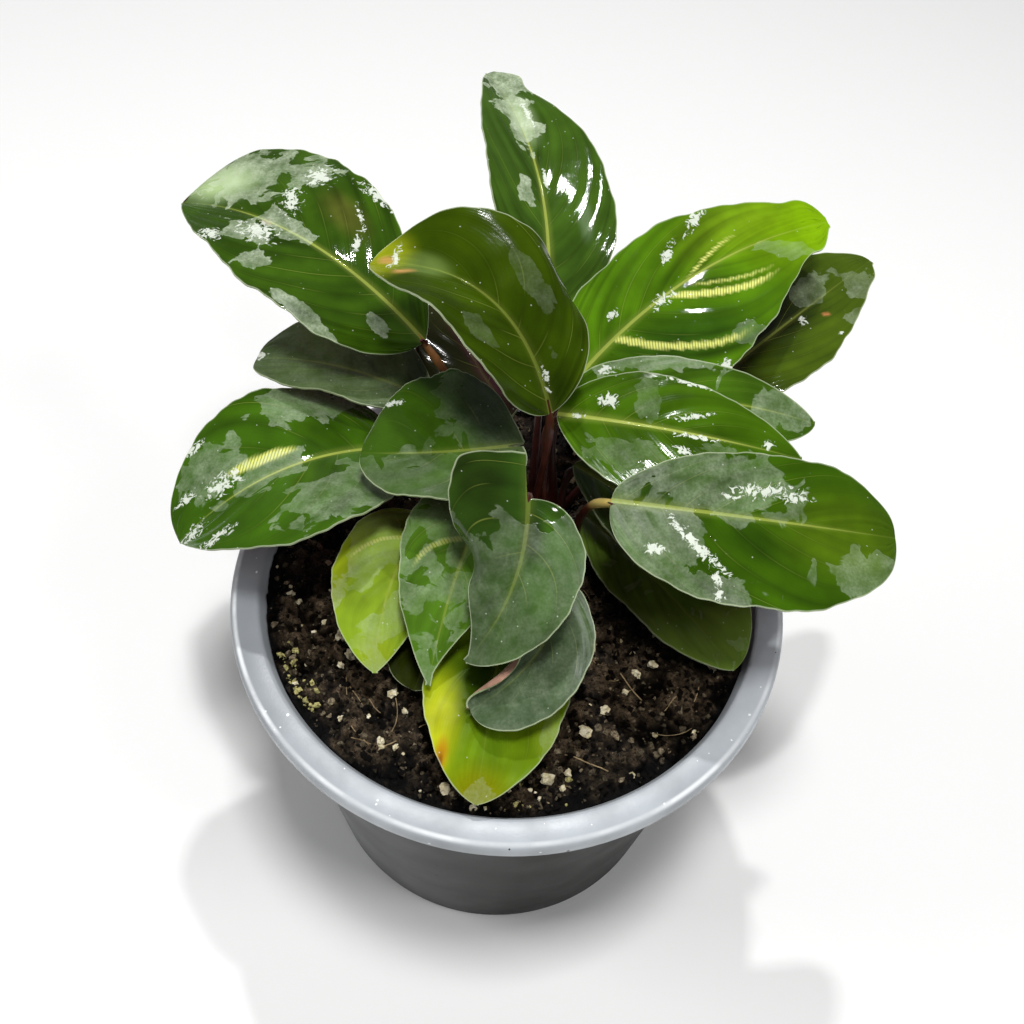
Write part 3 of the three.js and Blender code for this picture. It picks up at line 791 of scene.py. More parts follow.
LEAVES = (
    Leaf("leaf_back_left", "33500a", (-1.5, 21), (-28, 51, 148), (-103, 95, 152), 11, 1.5, (0, 0),
         Half(25, 0.45, 0.8, 8, -10),
         Half(32, 0.75, 0.33, 8, -10),
         film=(Patch(0.84, 0.5, 16, 13), Patch(0.66, 0.7, 8, 8, 40), Patch(0.57, 0.03, 9, 4.5, 10),
               Patch(0.66, -0.38, 8, 5, 10), Patch(0.55, -0.68, 7, 3.5, 30), Patch(0.12, -0.4, 4, 2.5),
               Patch(0.28, -0.88, 13, 2.5), Patch(0.62, 0.95, 5, 4, strength=-1)),
         residue_and_glints=(Patch(0.62, 0.72, 5, 4, 50), Patch(0.62, 0.3, 6, 3, 60), Patch(0.62, -0.25, 7, 4.5),
                  Patch(0.74, -0.8, 4, 3), Patch(0.42, 0.94, 7, 2.5), Patch(0.35, 0.32, 4, 1.2, 60),
                  Patch(0.41, 0.6, 5, 0.9, 40)),
         # The pale tip wash is partly film and partly painted sheen; the brown wash and tan spot are the
         # leaf's own.
         washes=(Patch(0.92, 0.4, 16, 13, 0, 0.75, "bcd49a"), Patch(0.45, 0.5, 14, 7, 20, 0.4, "6b5f2c"),
                 Patch(0.63, -0.03, 2.6, 1.6, 0, 0.9, "c08f78")),
         haze=2.0, frill=0.07, joint="a8703a"),
    Leaf("leaf_back_upright", "385414", (4.5, 25), (5, 74, 140), (-19, 158, 160), 6, 6, (0, 0),
         Half(18.5, 0.5, 0.75, 30, -10),
         Half(21.5, 0.5, 0.9, 10, -10, blunt=5),
         film=(Patch(0.93, 0.3, 8, 8), Patch(0.74, 0, 14, 6.5), Patch(0.41, -0.33, 4.5, 4)),
         residue_and_glints=(Patch(0.46, 0.09, 4, 0.9), Patch(0.76, 0.28, 6, 1)),
         # The faint pale wash on the right half near the base is painted glare.
         washes=(Patch(0.74, 0.08, 15, 6, 0, 0.6, "b4ca94"), Patch(0.3, 0.55, 9, 3, 0, 0.3, "8fa682")),
         haze=2.8),
    Leaf("leaf_top", "304303", (4, 15.5), (7, 20, 158), (-41, 49, 176), 13, 5.5, (-15, -15),
         Half(18, 0.5, 0.65, 35, -10),
         Half(23.5, 0.75, 0.82, 12, -10, turn=Turn(-90, 0.36, 0.16, 0.4)),
         film=(Patch(0.42, 0.45, 12, 2.5, 20), Patch(0.4, -0.62, 7, 3)),
         residue_and_glints=(Patch(0.91, 0.12, 1.1, 4), Patch(0.12, 0.1, 3, 1)),
         # The paler green wash below the tip is painted sheen; the yellow tip and tan spots are the leaf's
         # own.
         washes=(Patch(0.98, 0, 11, 12, 0, 0.85, "a3ad1c"), Patch(0.79, -0.05, 9, 6, 0, 0.5, "7f9850"),
                 Patch(0.84, -0.38, 3.6, 1.7, 20, 1, "c79a5c"),
                 Patch(0.94, 0.12, 3, 1.8, 0, 0.9, "cda35c")), rib=0.3, gloss=2.4, haze=0.3, back="4a1a2c"),
    Leaf("leaf_back_right", "466c08", (7.5, 20.5), (10, 46, 134), (84, 101, 158), 9, -4, (20, 16),
         Half(18.5, 0.5, 0.65, 8, -6, blunt=3),
         Half(30, 0.6, 1, 8, -6, blunt=3.5),
         film=(Patch(0.82, 0.35, 8, 3, 30), Patch(0.55, 0.85, 6, 4)),
         residue_and_glints=(Patch(0.62, -0.8, 5, 1.6, 30), Patch(0.5, -0.5, 4, 1.4, 40), Patch(0.41, 0.02, 4, 2),
                  Patch(0.27, -0.3, 2, 1.2), Patch(0.42, 0.9, 3, 2)),
         streaks=(Streak(0.42, 1, 0.04, 0.62, 1.7), Streak(0.47, 1, 0.08, 0.5, 0.8, 0.7),
                  Streak(0.23, 1, 0.0, 0.85, 1.3), Streak(0.5, -1, 0.03, 0.35, 1.2)),
         washes=(Patch(0.95, -0.1, 34, 24, 0, 0.9, "7aa404"), Patch(0.7, -0.5, 26, 12, 0, 0.5, "7fa018"),
                 Patch(0.25, 0.45, 20, 18, 0, 0.6, "28480a"), Patch(0.42, 0.5, 24, 12, 20, 0.75, "24440a")),
         banding=0.75, haze=0.5, frill=0.08),
    Leaf("leaf_right_upper", "3a5a0c", (11.5, 22), (11, 32, 148), (76, 30, 150), 6, 0, (14, 14),
         Half(12, 0.4, 0.7, 8, -6),
         Half(15, 0.5, 0.6, 8, -6),
         film=(Patch(0.35, -0.9, 22, 4), Patch(0.86, -0.15, 8, 7)),
         residue_and_glints=(Patch(0.17, -0.8, 2.5, 1.5),), filmed=-0.3, wave=0.3),
    Leaf("leaf_right_middle", "3a5a08", (9, 15.2), (9, 25, 152), (71, 16, 152), 3, 1, (10, 10),
         Half(15.5, 0.5, 0.8, 8, -6),
         Half(23, 0.7, 0.6, 8, -6),
         film=(Patch(0.28, 0.5, 9, 5.5), Patch(0.35, -0.45, 3.5, 5), Patch(0.72, 0.3, 9, 4)),
         residue_and_glints=(Patch(0.53, -0.3, 6, 0.9, 20), Patch(0.56, 0.04, 7, 1), Patch(0.53, 0.25, 4, 1.3),
                  Patch(0.85, -0.2, 2, 1.6), Patch(0.52, -0.95, 10, 0.9), Patch(0.2, -0.4, 3, 2),
                  Patch(0.09, -0.02, 2, 0.8)), rib=1.0, gloss=2.2, haze=0.6, wave=0.3),
    Leaf("leaf_right_front", "315003", (16.5, 8), (23, -3, 154), (94, -2, 146), 5, 3.5, (18, 18),
         Half(17, 0.5, 0.4, 8, -6),
         Half(23.5, 0.45, 0.5, 8, -6),
         film=(Patch(0.12, 0.5, 14, 19), Patch(0.34, 0.88, 12, 5), Patch(0.32, -0.55, 22, 9),
               Patch(0.88, 0.75, 13, 7, 10), Patch(0.36, 0.6, 6, 4.5, strength=-1)),
         # Most of these residue streaks are painted glints.
         residue_and_glints=(Patch(0.5, -0.4, 9, 2, 10), Patch(0.29, 0.42, 11, 1.5, 42), Patch(0.36, 0.78, 5, 1.3, 80),
                  Patch(0.16, 0.62, 2.5, 1.5), Patch(0.6, -0.36, 5, 1.4)),
         rib=0.75, haze=0.85, joint="b5a058",
         washes=(Patch(0.14, -0.55, 13, 8, 0, 0.6, "1f2f12"), Patch(0.8, 0.1, 24, 16, 0, 0.6, "56700c"),
                 # This dark wash along a side vein is painted shade.
                 Patch(0.45, 0.25, 12, 6, 30, 0.6, "1f3a02"))),
    Leaf("leaf_far_right", "44590f", (11.5, 26.5), (39, 47, 126), (103, 109, 138), 5, 2, (10, 10),
         Half(19, 0.5, 0.6, 8, -6),
         Half(18, 0.9, 1, 8, -6, blunt=2),
         film=(Patch(0.72, -0.25, 9, 4), Patch(0.88, 0.55, 6, 5), Patch(0.76, 0.9, 4, 3)),
         residue_and_glints=(Patch(0.6, 0.15, 2, 1.4), Patch(0.66, 0.8, 1.2, 0.8)),
         # Both near-black washes are painted shadow cast by leaf_back_right; the tan spot is the leaf's own.
         washes=(Patch(0.5, -0.2, 32, 15, 0, 0.92, "10120a"), Patch(0.22, 0.1, 20, 24, 0, 0.92, "10120a"),
                 Patch(0.68, 0.35, 2, 0.8, 40, 1, "b97a4a")), rib=0.35, haze=0.8, frill=0.08),
    Leaf("leaf_left", "36580a", (-6.5, 18.5), (-33, 29, 128), (-87, -3, 122), 10, 1, (0, 0),
         Half(32, 0.65, 0.85, 22, -8),
         Half(28.5, 0.42, 0.48, 5, -8),
         film=(Patch(0.32, 0.72, 14, 8), Patch(0.76, 0.5, 9, 9), Patch(0.56, 0.0, 13, 5),
               Patch(0.28, -0.6, 19, 13), Patch(0.36, -0.27, 9, 2.6, 12, -1), Patch(0.6, 0.92, 13, 6, 0, -1)),
         residue_and_glints=(Patch(0.73, 0.2, 6, 2.8), Patch(0.93, -0.2, 4, 3), Patch(0.85, -0.72, 6, 2),
                  Patch(0.8, 0.95, 5, 1.6), Patch(0.9, 0.5, 3, 1.5)),
         washes=(Patch(0.6, 0.95, 12, 7, 0, 0.45, "2c4800"),), stripes=(Patch(0.56, 0.2, 11, 2, 5),),
         rib=0.9),
    Leaf("leaf_left_inner", "33500e", (-0.5, 16), (-3, 18, 146), (-40, 12, 146), 2, -2.5, (0, 0),
         Half(16.5, 0.4, 0.5, 8, -8, lobe=4),
         Half(26.5, 0.22, 0.38, 8, -8, lobe=5),
         film=(Patch(0.08, 0.5, 12, 24), Patch(0.5, -0.6, 25, 11)),
         residue_and_glints=(Patch(0.85, 0.85, 4, 1.2),), rib=0.4, haze=0.32,
         # The dark wash near the base is painted shadow cast by leaf_top.
         washes=(Patch(0.1, 0.5, 13, 24, 0, 0.8, "1b2a14"),)),
    Leaf("leaf_left_shaded", "3c5222", (-6.5, 23.5), (-26, 42, 134), (-75, 51, 136), 5, 0, (0, 0),
         Half(11.5, 0.35, 0.35, 8, -6),
         Half(18, 0.45, 0.4, 8, -6),
         film=(Patch(0.93, 0.1, 5, 4),), residue_and_glints=(Patch(0.97, 0.1, 2, 1.5),), filmed=0.6, rib=0.3, haze=0.5),
    Leaf("leaf_front_lobed", "2f4c12", (4.5, 10.5), (3, -4, 152), (-9, -36, 129), 5, -5, (0, 0),
         Half(16, 0.5, 0.8, 8, -8, lobe=1),
         Half(20.5, 0.25, 1.25, 12, 10, lobe=14, turn=Turn(-90, 0.48, 0.2, 0.25)),
         film=(Patch(0.12, 0.75, 15, 13, strength=-1), Patch(0, 0.5, 9, 24, strength=-1)),
         filmed=0.7, rib=0.25, haze=0.5,
         # Both dark washes are painted shade in the blade's folds.
         washes=(Patch(0.18, -0.12, 11, 4, 0, 0.7, "16220c"), Patch(0.04, 0.8, 17, 14, 0, 0.75, "1c2a05"))),
    Leaf("leaf_front_left", "4a7018", (-0.5, 11), (-8, 4, 138), (-18, -39, 121), 3, 1, (0, 0),
         Half(16, 0.4, 1.5, 8, -8),
         Half(17, 0.3, 0.95, 8, -8, lobe=3),
         film=(Patch(0.33, 0.75, 6, 3, strength=-1), Patch(0.3, -0.2, 6, 4, strength=-1)),
         streaks=(Streak(0.2, 1, 0.08, 0.75, 0.8, 0.45),), filmed=0.15, rib=0.4, haze=0.8),
    Leaf("leaf_front_lime", "88a626", (-5.5, 13), (-22, 7, 127), (-32, -34, 116), 4, 3, (0, 0),
         Half(12.5, 0.5, 0.8, 8, -8),
         Half(16.5, 0.5, 0.8, 8, -8),
         film=(Patch(0.3, 0.5, 10, 8), Patch(0.66, -0.3, 8, 4)),
         washes=(Patch(0.55, 0.95, 18, 6, 0, 0.8, "9fb01c"), Patch(0.9, 0, 8, 8, 0, 0.6, "8fa01c")),
         streaks=(Streak(0.17, 1, 0.1, 0.8, 0.7, 0.65),),
         filmed=0.0, rib=0.5, haze=0.75, slot=Slot.YELLOWING),
    Leaf("leaf_front_low", "2b340a", (-4, 6.5), (-15, -10, 113), (-22, -36, 112), 1, 0, (0, 0),
         Half(10, 0.5, 0.6, 8, -6),
         Half(12, 0.5, 0.45, 8, -6), rib=0.2),
    Leaf("leaf_front_yellow", "688610", (1, 5.5), (0, -7, 116), (-4, -66, 114), 2.5, 0, (0, 0),
         Half(20, 0.6, 0.7, 6, -4),
         Half(18, 0.6, 0.7, 6, -4),
         film=(Patch(0.68, -0.88, 6, 2.5), Patch(0.955, 0, 4, 4)),
         # The dark green wash over the middle is painted shadow cast by the leaves above; the yellow and
         # brown washes are the leaf's own.
         washes=(Patch(0.45, 0.05, 21, 16, 0, 0.95, "2c420c"), Patch(0.72, 0.85, 20, 8, 0, 0.95, "b9c01c"),
                 Patch(0.98, 0.1, 12, 12, 0, 0.9, "7c7e04"),
                 Patch(0.74, -0.1, 9, 6, 0, 0.5, "486810"), Patch(0.82, 0.85, 6, 2.4, 0, 0.85, "b47c14"),
                 Patch(0.85, 0.95, 3, 1, 0, 0.9, "7a4a10"), Patch(0.7, -0.9, 8, 5, 0, 0.6, "8ea42c")),
         rib=0.2, gloss=6.0, banding=0.15, haze=0.6, slot=Slot.YELLOWING),
    Leaf("leaf_front_curled", "2f4622", (8, 5.5), (13, -9, 129), (-7, -45, 121), 4, -7, (0, 0),
         Half(14, 0.8, 0.5, 8, -6),
         Half(5.5, 0.5, 0.3, 8, 0, turn=Turn(170, 0.75, 0.3, 0.15)), filmed=0.7, rib=0.3, haze=0.6,
         back="c79a84"),
    Leaf("leaf_right_low", "607a2a", (18, 14), (18, 20, 118), (60, -23, 112), 3, 0, (0, 0),
         Half(20, 0.5, 0.5, 8, -6),
         Half(13, 0.7, 0.7, 8, -6), filmed=-0.3, rib=0.3, haze=0.5),
    Leaf("leaf_right_narrow", "38501f", (13.2, 16.3), (15, 25, 132), (60, -3, 120), 3, 0, (0, 0),
         Half(8, 0.5, 0.6, 8, -6),
         Half(15, 0.7, 0.5, 8, -6), rib=0.3),
    Leaf("leaf_back_small", "262812", (1, 29), (-4, 45, 126), (-29, 79, 135), 3, 0, (0, 0),
         Half(17, 0.35, 0.6, 8, -16),
         Half(14, 0.5, 0.6, 20, 40), washes=(Patch(0.45, 0.2, 26, 6, 0, 0.95, "4a2034"),),
         filmed=-1.5, rib=0.1, gloss=2.0),
)


@dataclass
class LeafBuilder:
    """Models one leaf, blade and stalk, as one grown piece.

    crowding draws the blade's columns toward the midrib; out_of_step is how far the veins of the right
    half lie ahead of the left half's; dash_steps are how the stripes' dashes count across and along.
    lead is how far the stalk rises straight, how far it comes in level, and how many joint radii it
    reaches under the blade.
    """

    leaf: Leaf
    seed: int
    rows: int = 132
    columns: int = 52
    crowding: float = 1.25
    out_of_step: float = 0.35
    dash_steps: tuple[float, float] = (0.6, 0.8)
    frill_waves: tuple[tuple[float, float], ...] = ((3.3, 0.5), (7.1, 0.32), (15.0, 0.18))
    vein_lean: float = 0.08
    vein_bend: float = 0.3
    thickness: float = 0.8
    edge_thickness: float = 0.45
    midrib_thickness: float = 1.7
    vein_spacing: float = 7.0
    quilt: float = 0.3
    ripple: float = 0.75
    groove: float = 0.22
    stalk_sides: int = 14
    stalk_rows: int = 44
    sheath_radius: float = 1.5
    stalk_radius: float = 1.0
    joint_radius: float = 1.3
    soil_edge: float = 108.0
    buried: float = 9.7
    lead: tuple[float, float, float] = (0.62, 0.16, 3.2)
    foot_colour: str = "32130f"
    neck_colour: str = "522419"
    path_steps: int = 400
    crease_degrees: float = 50.0

    def __post_init__(self) -> None:
        """Works out the midrib's curve."""
        self.random = random.Random(self.seed)
        base = np.array(self.leaf.base, dtype=float)
        tip = np.array(self.leaf.tip, dtype=float)
        ahead, right, up = self.frame((tip - base)[None, :])
        middle = (base + tip) / 2 + 2 * self.leaf.rise * up[0] + 2 * self.leaf.bow * right[0]
        self.points = (base, middle, tip)
        self.length = float(np.linalg.norm(tip - base))

    @staticmethod
    def frame(ways: Array) -> tuple[Array, Array, Array]:
        """Gives the directions ahead, to the right and up for each way.

        Args:
            ways: One direction a row.

        Returns:
            Three sets of unit directions.
        """
        ahead = ways / np.linalg.norm(ways, axis=1, keepdims=True)
        right = np.cross(ahead, UP)
        right /= np.linalg.norm(right, axis=1, keepdims=True)
        return ahead, right, np.cross(right, ahead)

    def midrib(self, along: Array) -> tuple[Array, Array]:
        """Gives places and directions on the midrib.

        Args:
            along: Places from the base to the tip.

        Returns:
            Points, and the way the midrib goes there.
        """
        base, middle, tip = self.points
        share = along[:, None]
        places = (1 - share) ** 2 * base + 2 * share * (1 - share) * middle + share**2 * tip
        ways = 2 * (1 - share) * (middle - base) + 2 * share * (tip - middle)
        return places, ways

    def surface(self, along: Array, across: Array, lift: float) -> Array:
        """Gives points on the blade, as the solid has them.

        Args:
            along: Places from the base to the tip.
            across: Places from the left margin, -1, to the right one, 1.
            lift: Height above the blade's middle.

        Returns:
            One point a row.
        """
        centre, ways = self.midrib(along)
        ahead, right, up = self.frame(ways)
        start, end = self.leaf.roll
        roll = np.radians(start + (end - start) * along)[:, None]
        outward = right * np.cos(roll) - up * np.sin(roll)
        normal = up * np.cos(roll) + right * np.sin(roll)
        left = self.leaf.left.section(along, np.abs(across))
        far = self.leaf.right.section(along, np.abs(across))
        out, high, back = (np.where(across < 0, low, top) for low, top in zip(left, far))
        return (centre + outward * (np.sign(across) * out)[:, None]
                + normal * (high + lift)[:, None] - ahead * back[:, None])

    def patches(self, marks: tuple[Patch, ...], along: Array, side: Array) -> list[Array]:
        """Measures how deep each place of the blade lies in each patch.

        Args:
            marks: The patches.
            along: Places from the base to the tip.
            side: Distance from the midrib in millimetres, to the right positive.

        Returns:
            For each patch, 1 in its middle, 0 at its edge and less outside.
        """
        depths = []
        for mark in marks:
            half = self.leaf.left if mark.across < 0 else self.leaf.right
            middle = mark.across * float(half.reach(np.array([mark.along]))[0])
            ahead = (along - mark.along) * self.length
            aside = side - middle
            lean = math.radians(mark.lean) * (1 if mark.across >= 0 else -1)
            one = (ahead * math.cos(lean) + aside * math.sin(lean)) / mark.long
            two = (aside * math.cos(lean) - ahead * math.sin(lean)) / mark.wide
            depths.append(1 - np.hypot(one, two))
        return depths

    def blade(self) -> Piece:
        """Shapes the blade from a flat grid and gives it its thickness.

        Returns:
            The blade, with the fields that its material reads.
        """
        blade = grid(self.leaf.name, self.columns, self.rows)
        mesh = blade.data
        flat = read_rows(mesh.vertices, "co")
        along = (1 - np.cos(np.pi * (flat[:, 1] + 1) / 2)) / 2
        across = np.sign(flat[:, 0]) * np.abs(flat[:, 0]) ** self.crowding
        reach = np.where(across < 0, self.leaf.left.reach(along), self.leaf.right.reach(along))
        margin = self.edge_distance(along, across, reach)
        across = across * (1 - self.notches(along, across, reach))
        share = np.abs(across)
        side = across * reach
        vein = self.vein_start(along, share) * self.length / self.vein_spacing
        write_points(mesh, self.surface(along, across, self.thickness / 2))
        height = self.relief(along, share, side, reach, vein)
        smooth_way = read_rows(mesh.vertex_normals, "vector")
        write_points(mesh, read_rows(mesh.vertices, "co") / MM + smooth_way * height[:, None])
        aside, ahead = self.dash_steps
        for name, values in (("across_mm", side), ("margin_mm", margin), ("along", along),
                             ("vein", vein + self.out_of_step * np.sign(across)),
                             ("vein_mm", aside * np.abs(side) + ahead * along * self.length)):
            store(mesh, name, values)
        self.marks(mesh, along, across, side)
        self.thicken(blade, along, share, side)
        return blade

    def edge_distance(self, along: Array, across: Array, reach: Array) -> Array:
        """Measures how far each place is from the margin, also where the base reaches back in a lobe.

        Args:
            along: Places from the base to the tip.
            across: Places from the left margin to the right one.
            reach: Half-width at each place.

        Returns:
            Distances in millimetres.
        """
        rim = np.ones_like(along)
        back = np.where(across < 0, self.leaf.left.section(along, rim)[2],
                        self.leaf.right.section(along, rim)[2])
        return np.hypot(reach, back) * (1 - np.abs(across))

    def notches(self, along: Array, across: Array, reach: Array) -> Array:
        """Makes the outline uneven.

        Args:
            along: Places from the base to the tip.
            across: Places from the left margin to the right one.
            reach: Half-width at each place.

        Returns:
            How far each place is drawn in toward the midrib, as a share of its distance.
        """
        start = np.where(across < 0, 0.3, 0.75) + 0.41 * self.seed
        wave = sum(size * np.sin(FULL_TURN * (count * along + count * start))
                   for count, size in self.frill_waves)
        return self.leaf.frill * (1 + wave) / 2 * np.abs(across) ** 4 * smooth(reach, 2, 9)

    def vein_start(self, along: Array, share: Array) -> Array:
        """Follows side veins back to the midrib.

        They leave it nearly square at the base and at a sharper angle toward the tip, and all bend
        forward at the margin.

        Args:
            along: Places from the base to the tip.
            share: Places from the midrib to the margin.

        Returns:
            Where along the midrib the vein through each place starts.
        """
        left = along - self.vein_lean * share - self.vein_bend * share**3
        inside = np.sqrt(np.maximum(1 + 8 * share * np.maximum(left, 0), 1))
        curved = (inside - 1) / np.maximum(4 * share, 1e-6)
        return np.where((left < 0) | (share < 1e-3), left, curved)

    def relief(self, along: Array, share: Array, side: Array, reach: Array,
               vein: Array) -> Array:
        """Gives the low relief of the upper side: sunk veins, the midrib's groove and a wavy margin.

        Args:
            along: Places from the base to the tip.
            share: Places from the midrib to the margin.
            side: Distance from the midrib in millimetres.
            reach: Half-width at each place.
            vein: Count of side veins passed.

        Returns:
            Heights in millimetres.
        """
        fade = smooth(share, 0.02, 0.2) * (1 - smooth(share, 0.8, 1.0)) * smooth(reach, 2, 8)
        uneven = 0.7 + 0.6 * np.sin(1.7 * vein + self.seed) * np.sin(5 * share + 0.6 * vein)
        quilting = self.quilt * (np.abs(np.sin(np.pi * vein)) - 0.6) * fade * uneven
        groove = -self.groove * np.exp(-((side / 1.0) ** 2)) * (1 - along)
        waves = self.random.uniform(1.6, 2.6)
        shift = self.random.uniform(0, 1)
        turn = FULL_TURN * (along * waves + shift + 0.3 * np.sign(side))
        rippling = self.ripple * self.leaf.wave * np.sin(turn)
        rippling = rippling * smooth(share, 0.35, 1.0) * smooth(reach, 2, 10)
        return quilting + groove + rippling

    def marks(self, mesh: Mesh, along: Array, across: Array, side: Array) -> None:
        """Stores the film, residue, stripes and colour of the blade.

        Args:
            mesh: The blade's mesh.
            along: Places from the base to the tip.
            across: Places from the left margin to the right one.
            side: Distance from the midrib in millimetres.
        """
        for name, marks, least in (("film", self.leaf.film, self.leaf.filmed),
                                   ("residue_and_glints", self.leaf.residue_and_glints, -1.0)):
            level = np.full_like(along, least)
            for mark, depth in zip(marks, self.patches(marks, along, side)):
                if mark.strength > 0:
                    level = np.maximum(level, depth)
                else:
                    level = np.minimum(level, 0.4 - 1.4 * depth)
            store(mesh, name, level)
        for name in ("rib", "gloss", "banding", "haze"):
            store(mesh, name, np.full_like(along, getattr(self.leaf, name)))
        store(mesh, "back_colour", np.tile(linear(self.leaf.back), (len(along), 1)))
        stripes = [mark.strength * smooth(depth, 0, 0.4) for mark, depth in
                   zip(self.leaf.stripes, self.patches(self.leaf.stripes, along, side))]
        share = np.abs(across)
        vein = self.vein_start(along, share)
        for streak in self.leaf.streaks:
            near = 1 - np.abs(vein - streak.start) * self.length / streak.wide
            ends = smooth(share, streak.inner - 0.03, streak.inner + 0.05)
            ends = ends * (1 - smooth(share, streak.outer - 0.12, streak.outer))
            stripes.append(streak.strength * smooth(near, 0, 0.35) * ends * (across * streak.side > 0))
        store(mesh, "stripe", np.maximum.reduce([np.zeros_like(along), *stripes]))
        colour = np.tile(linear(self.leaf.colour), (len(along), 1))
        for wash, depth in zip(self.leaf.washes, self.patches(self.leaf.washes, along, side)):
            weight = (wash.strength * smooth(depth, 0, 0.8))[:, None]
            colour = colour * (1 - weight) + np.array(linear(wash.colour)) * weight
        store(mesh, "blade_colour", colour)

    def thicken(self, blade: Piece, along: Array, share: Array,
                side: Array) -> None:
        """Gives the blade its thickness, more under the midrib and less at the margin.

        Args:
            blade: The blade as a sheet.
            along: Places from the base to the tip.
            share: Places from the midrib to the margin.
            side: Distance from the midrib in millimetres.
        """
        thin = self.thickness + (self.edge_thickness - self.thickness) * smooth(share, 0.55, 1)
        ridge = (self.midrib_thickness - self.thickness) * (1 - along) * np.exp(-((side / 1.1) ** 2))
        weights = (thin + ridge) / self.midrib_thickness
        group = blade.vertex_groups.new(name="thickness")
        for index, weight in enumerate(weights):
            group.add([index], float(weight), "REPLACE")
        for _ in range(3):
            blade.data.materials.append(None)
        modify(blade, "thickness", "SOLIDIFY", thickness=self.midrib_thickness * MM, offset=-1,
               vertex_group=group.name, material_offset=1, material_offset_rim=2)
        blade.vertex_groups.clear()

    def stalk_path(self) -> tuple[Array, Array, Array]:
        """Follows the stalk from its foot to the joint.

        Returns:
            Even shares of its length, the points there and the ways it goes there.
        """
        start = np.array([*self.leaf.foot, self.soil_edge - self.buried])
        base = self.points[0]
        ahead = self.frame(self.midrib(np.zeros(1))[1])[0][0]
        length = float(np.linalg.norm(base - start))
        straight, level, under = self.lead
        ends = (start, start + UP * straight * (base[2] - start[2]),
                base - ahead * level * length, base + ahead * under * self.joint_radius)
        share = np.linspace(0, 1, self.path_steps)[:, None]
        path = ((1 - share) ** 3 * ends[0] + 3 * share * (1 - share) ** 2 * ends[1]
                + 3 * share**2 * (1 - share) * ends[2] + share**3 * ends[3])
        gone = np.concatenate([[0], np.cumsum(np.linalg.norm(np.diff(path, axis=0), axis=1))])
        even = np.linspace(0, 1, self.stalk_rows + 1)
        points = np.stack([np.interp(even * gone[-1], gone, path[:, axis]) for axis in range(3)], axis=1)
        return even, points, np.gradient(points, axis=0)

    def stalk(self) -> Piece:
        """Rolls a grid into the stalk: a sheath at the soil, a slim neck and a swollen joint.

        Returns:
            The stalk.
        """
        stalk = grid(f"{self.leaf.name}_stalk", self.stalk_sides, self.stalk_rows)
        flat = read_rows(stalk.data.vertices, "co")
        even, points, ways = self.stalk_path()
        row = np.rint((flat[:, 1] + 1) / 2 * self.stalk_rows).astype(int)
        angle = np.pi * (flat[:, 0] + 1)
        along = even[row]
        way = ways[row] / np.linalg.norm(ways[row], axis=1, keepdims=True)
        side = self.frame(self.midrib(np.zeros(1))[1])[1]
        one = side - way * np.sum(side * way, axis=1, keepdims=True)
        one /= np.linalg.norm(one, axis=1, keepdims=True)
        two = np.cross(way, one)
        slim = self.sheath_radius + (self.stalk_radius - self.sheath_radius) * smooth(along, 0.25, 0.7)
        swell = smooth(along, 0.76, 0.86)
        end = smooth(along, 0.88, 1.0)
        radius = (slim + (self.joint_radius - slim) * swell) * (1 - 0.06 * (1 + np.cos(2 * angle)))
        radius = radius * (1 - 0.5 * end)
        sunk = points[row] - UP * (0.45 * self.joint_radius * smooth(along, 0.82, 0.95))[:, None]
        write_points(stalk.data, sunk + one * (radius * np.cos(angle))[:, None]
                     + two * (radius * np.sin(angle))[:, None])
        ripe = smooth(along, 0.78, 0.88)[:, None]
        foot, neck, joint = (np.array(linear(code))
                             for code in (self.foot_colour, self.neck_colour, self.leaf.joint))
        shaded = foot * (1 - along[:, None]) + neck * along[:, None]
        store(stalk.data, "stalk_colour", shaded * (1 - ripe) + joint * ripe)
        take(stalk)
        bpy.ops.object.mode_set(mode="EDIT")
        bpy.ops.mesh.select_all(action="SELECT")
        bpy.ops.mesh.remove_doubles(threshold=0.02 * MM)
        bpy.ops.mesh.fill_holes(sides=0)
        face_outward()
        return stalk

    def build(self, finishes: dict[str, Material]) -> Piece:
        """Models the whole leaf, dresses it and puts it on the frame.

        Args:
            finishes: Materials for the upper side, the underside, the edge and the stalk.

        Returns:
            The finished leaf.
        """
        blade = self.blade()
        for index, part in enumerate(("blade", "underside", "edge")):
            blade.data.materials[index] = finishes[part]
        stalk = self.stalk()
        stalk.data.materials.append(finishes["stalk"])
        take(stalk)
        blade.select_set(True)
        bpy.context.view_layer.objects.active = blade
        bpy.ops.object.join()
        take(blade)
        bpy.ops.object.shade_smooth_by_angle(angle=math.radians(self.crease_degrees))
        settle(blade, self.leaf.slot, self.leaf.name)
        return blade


# ---- Pot ----


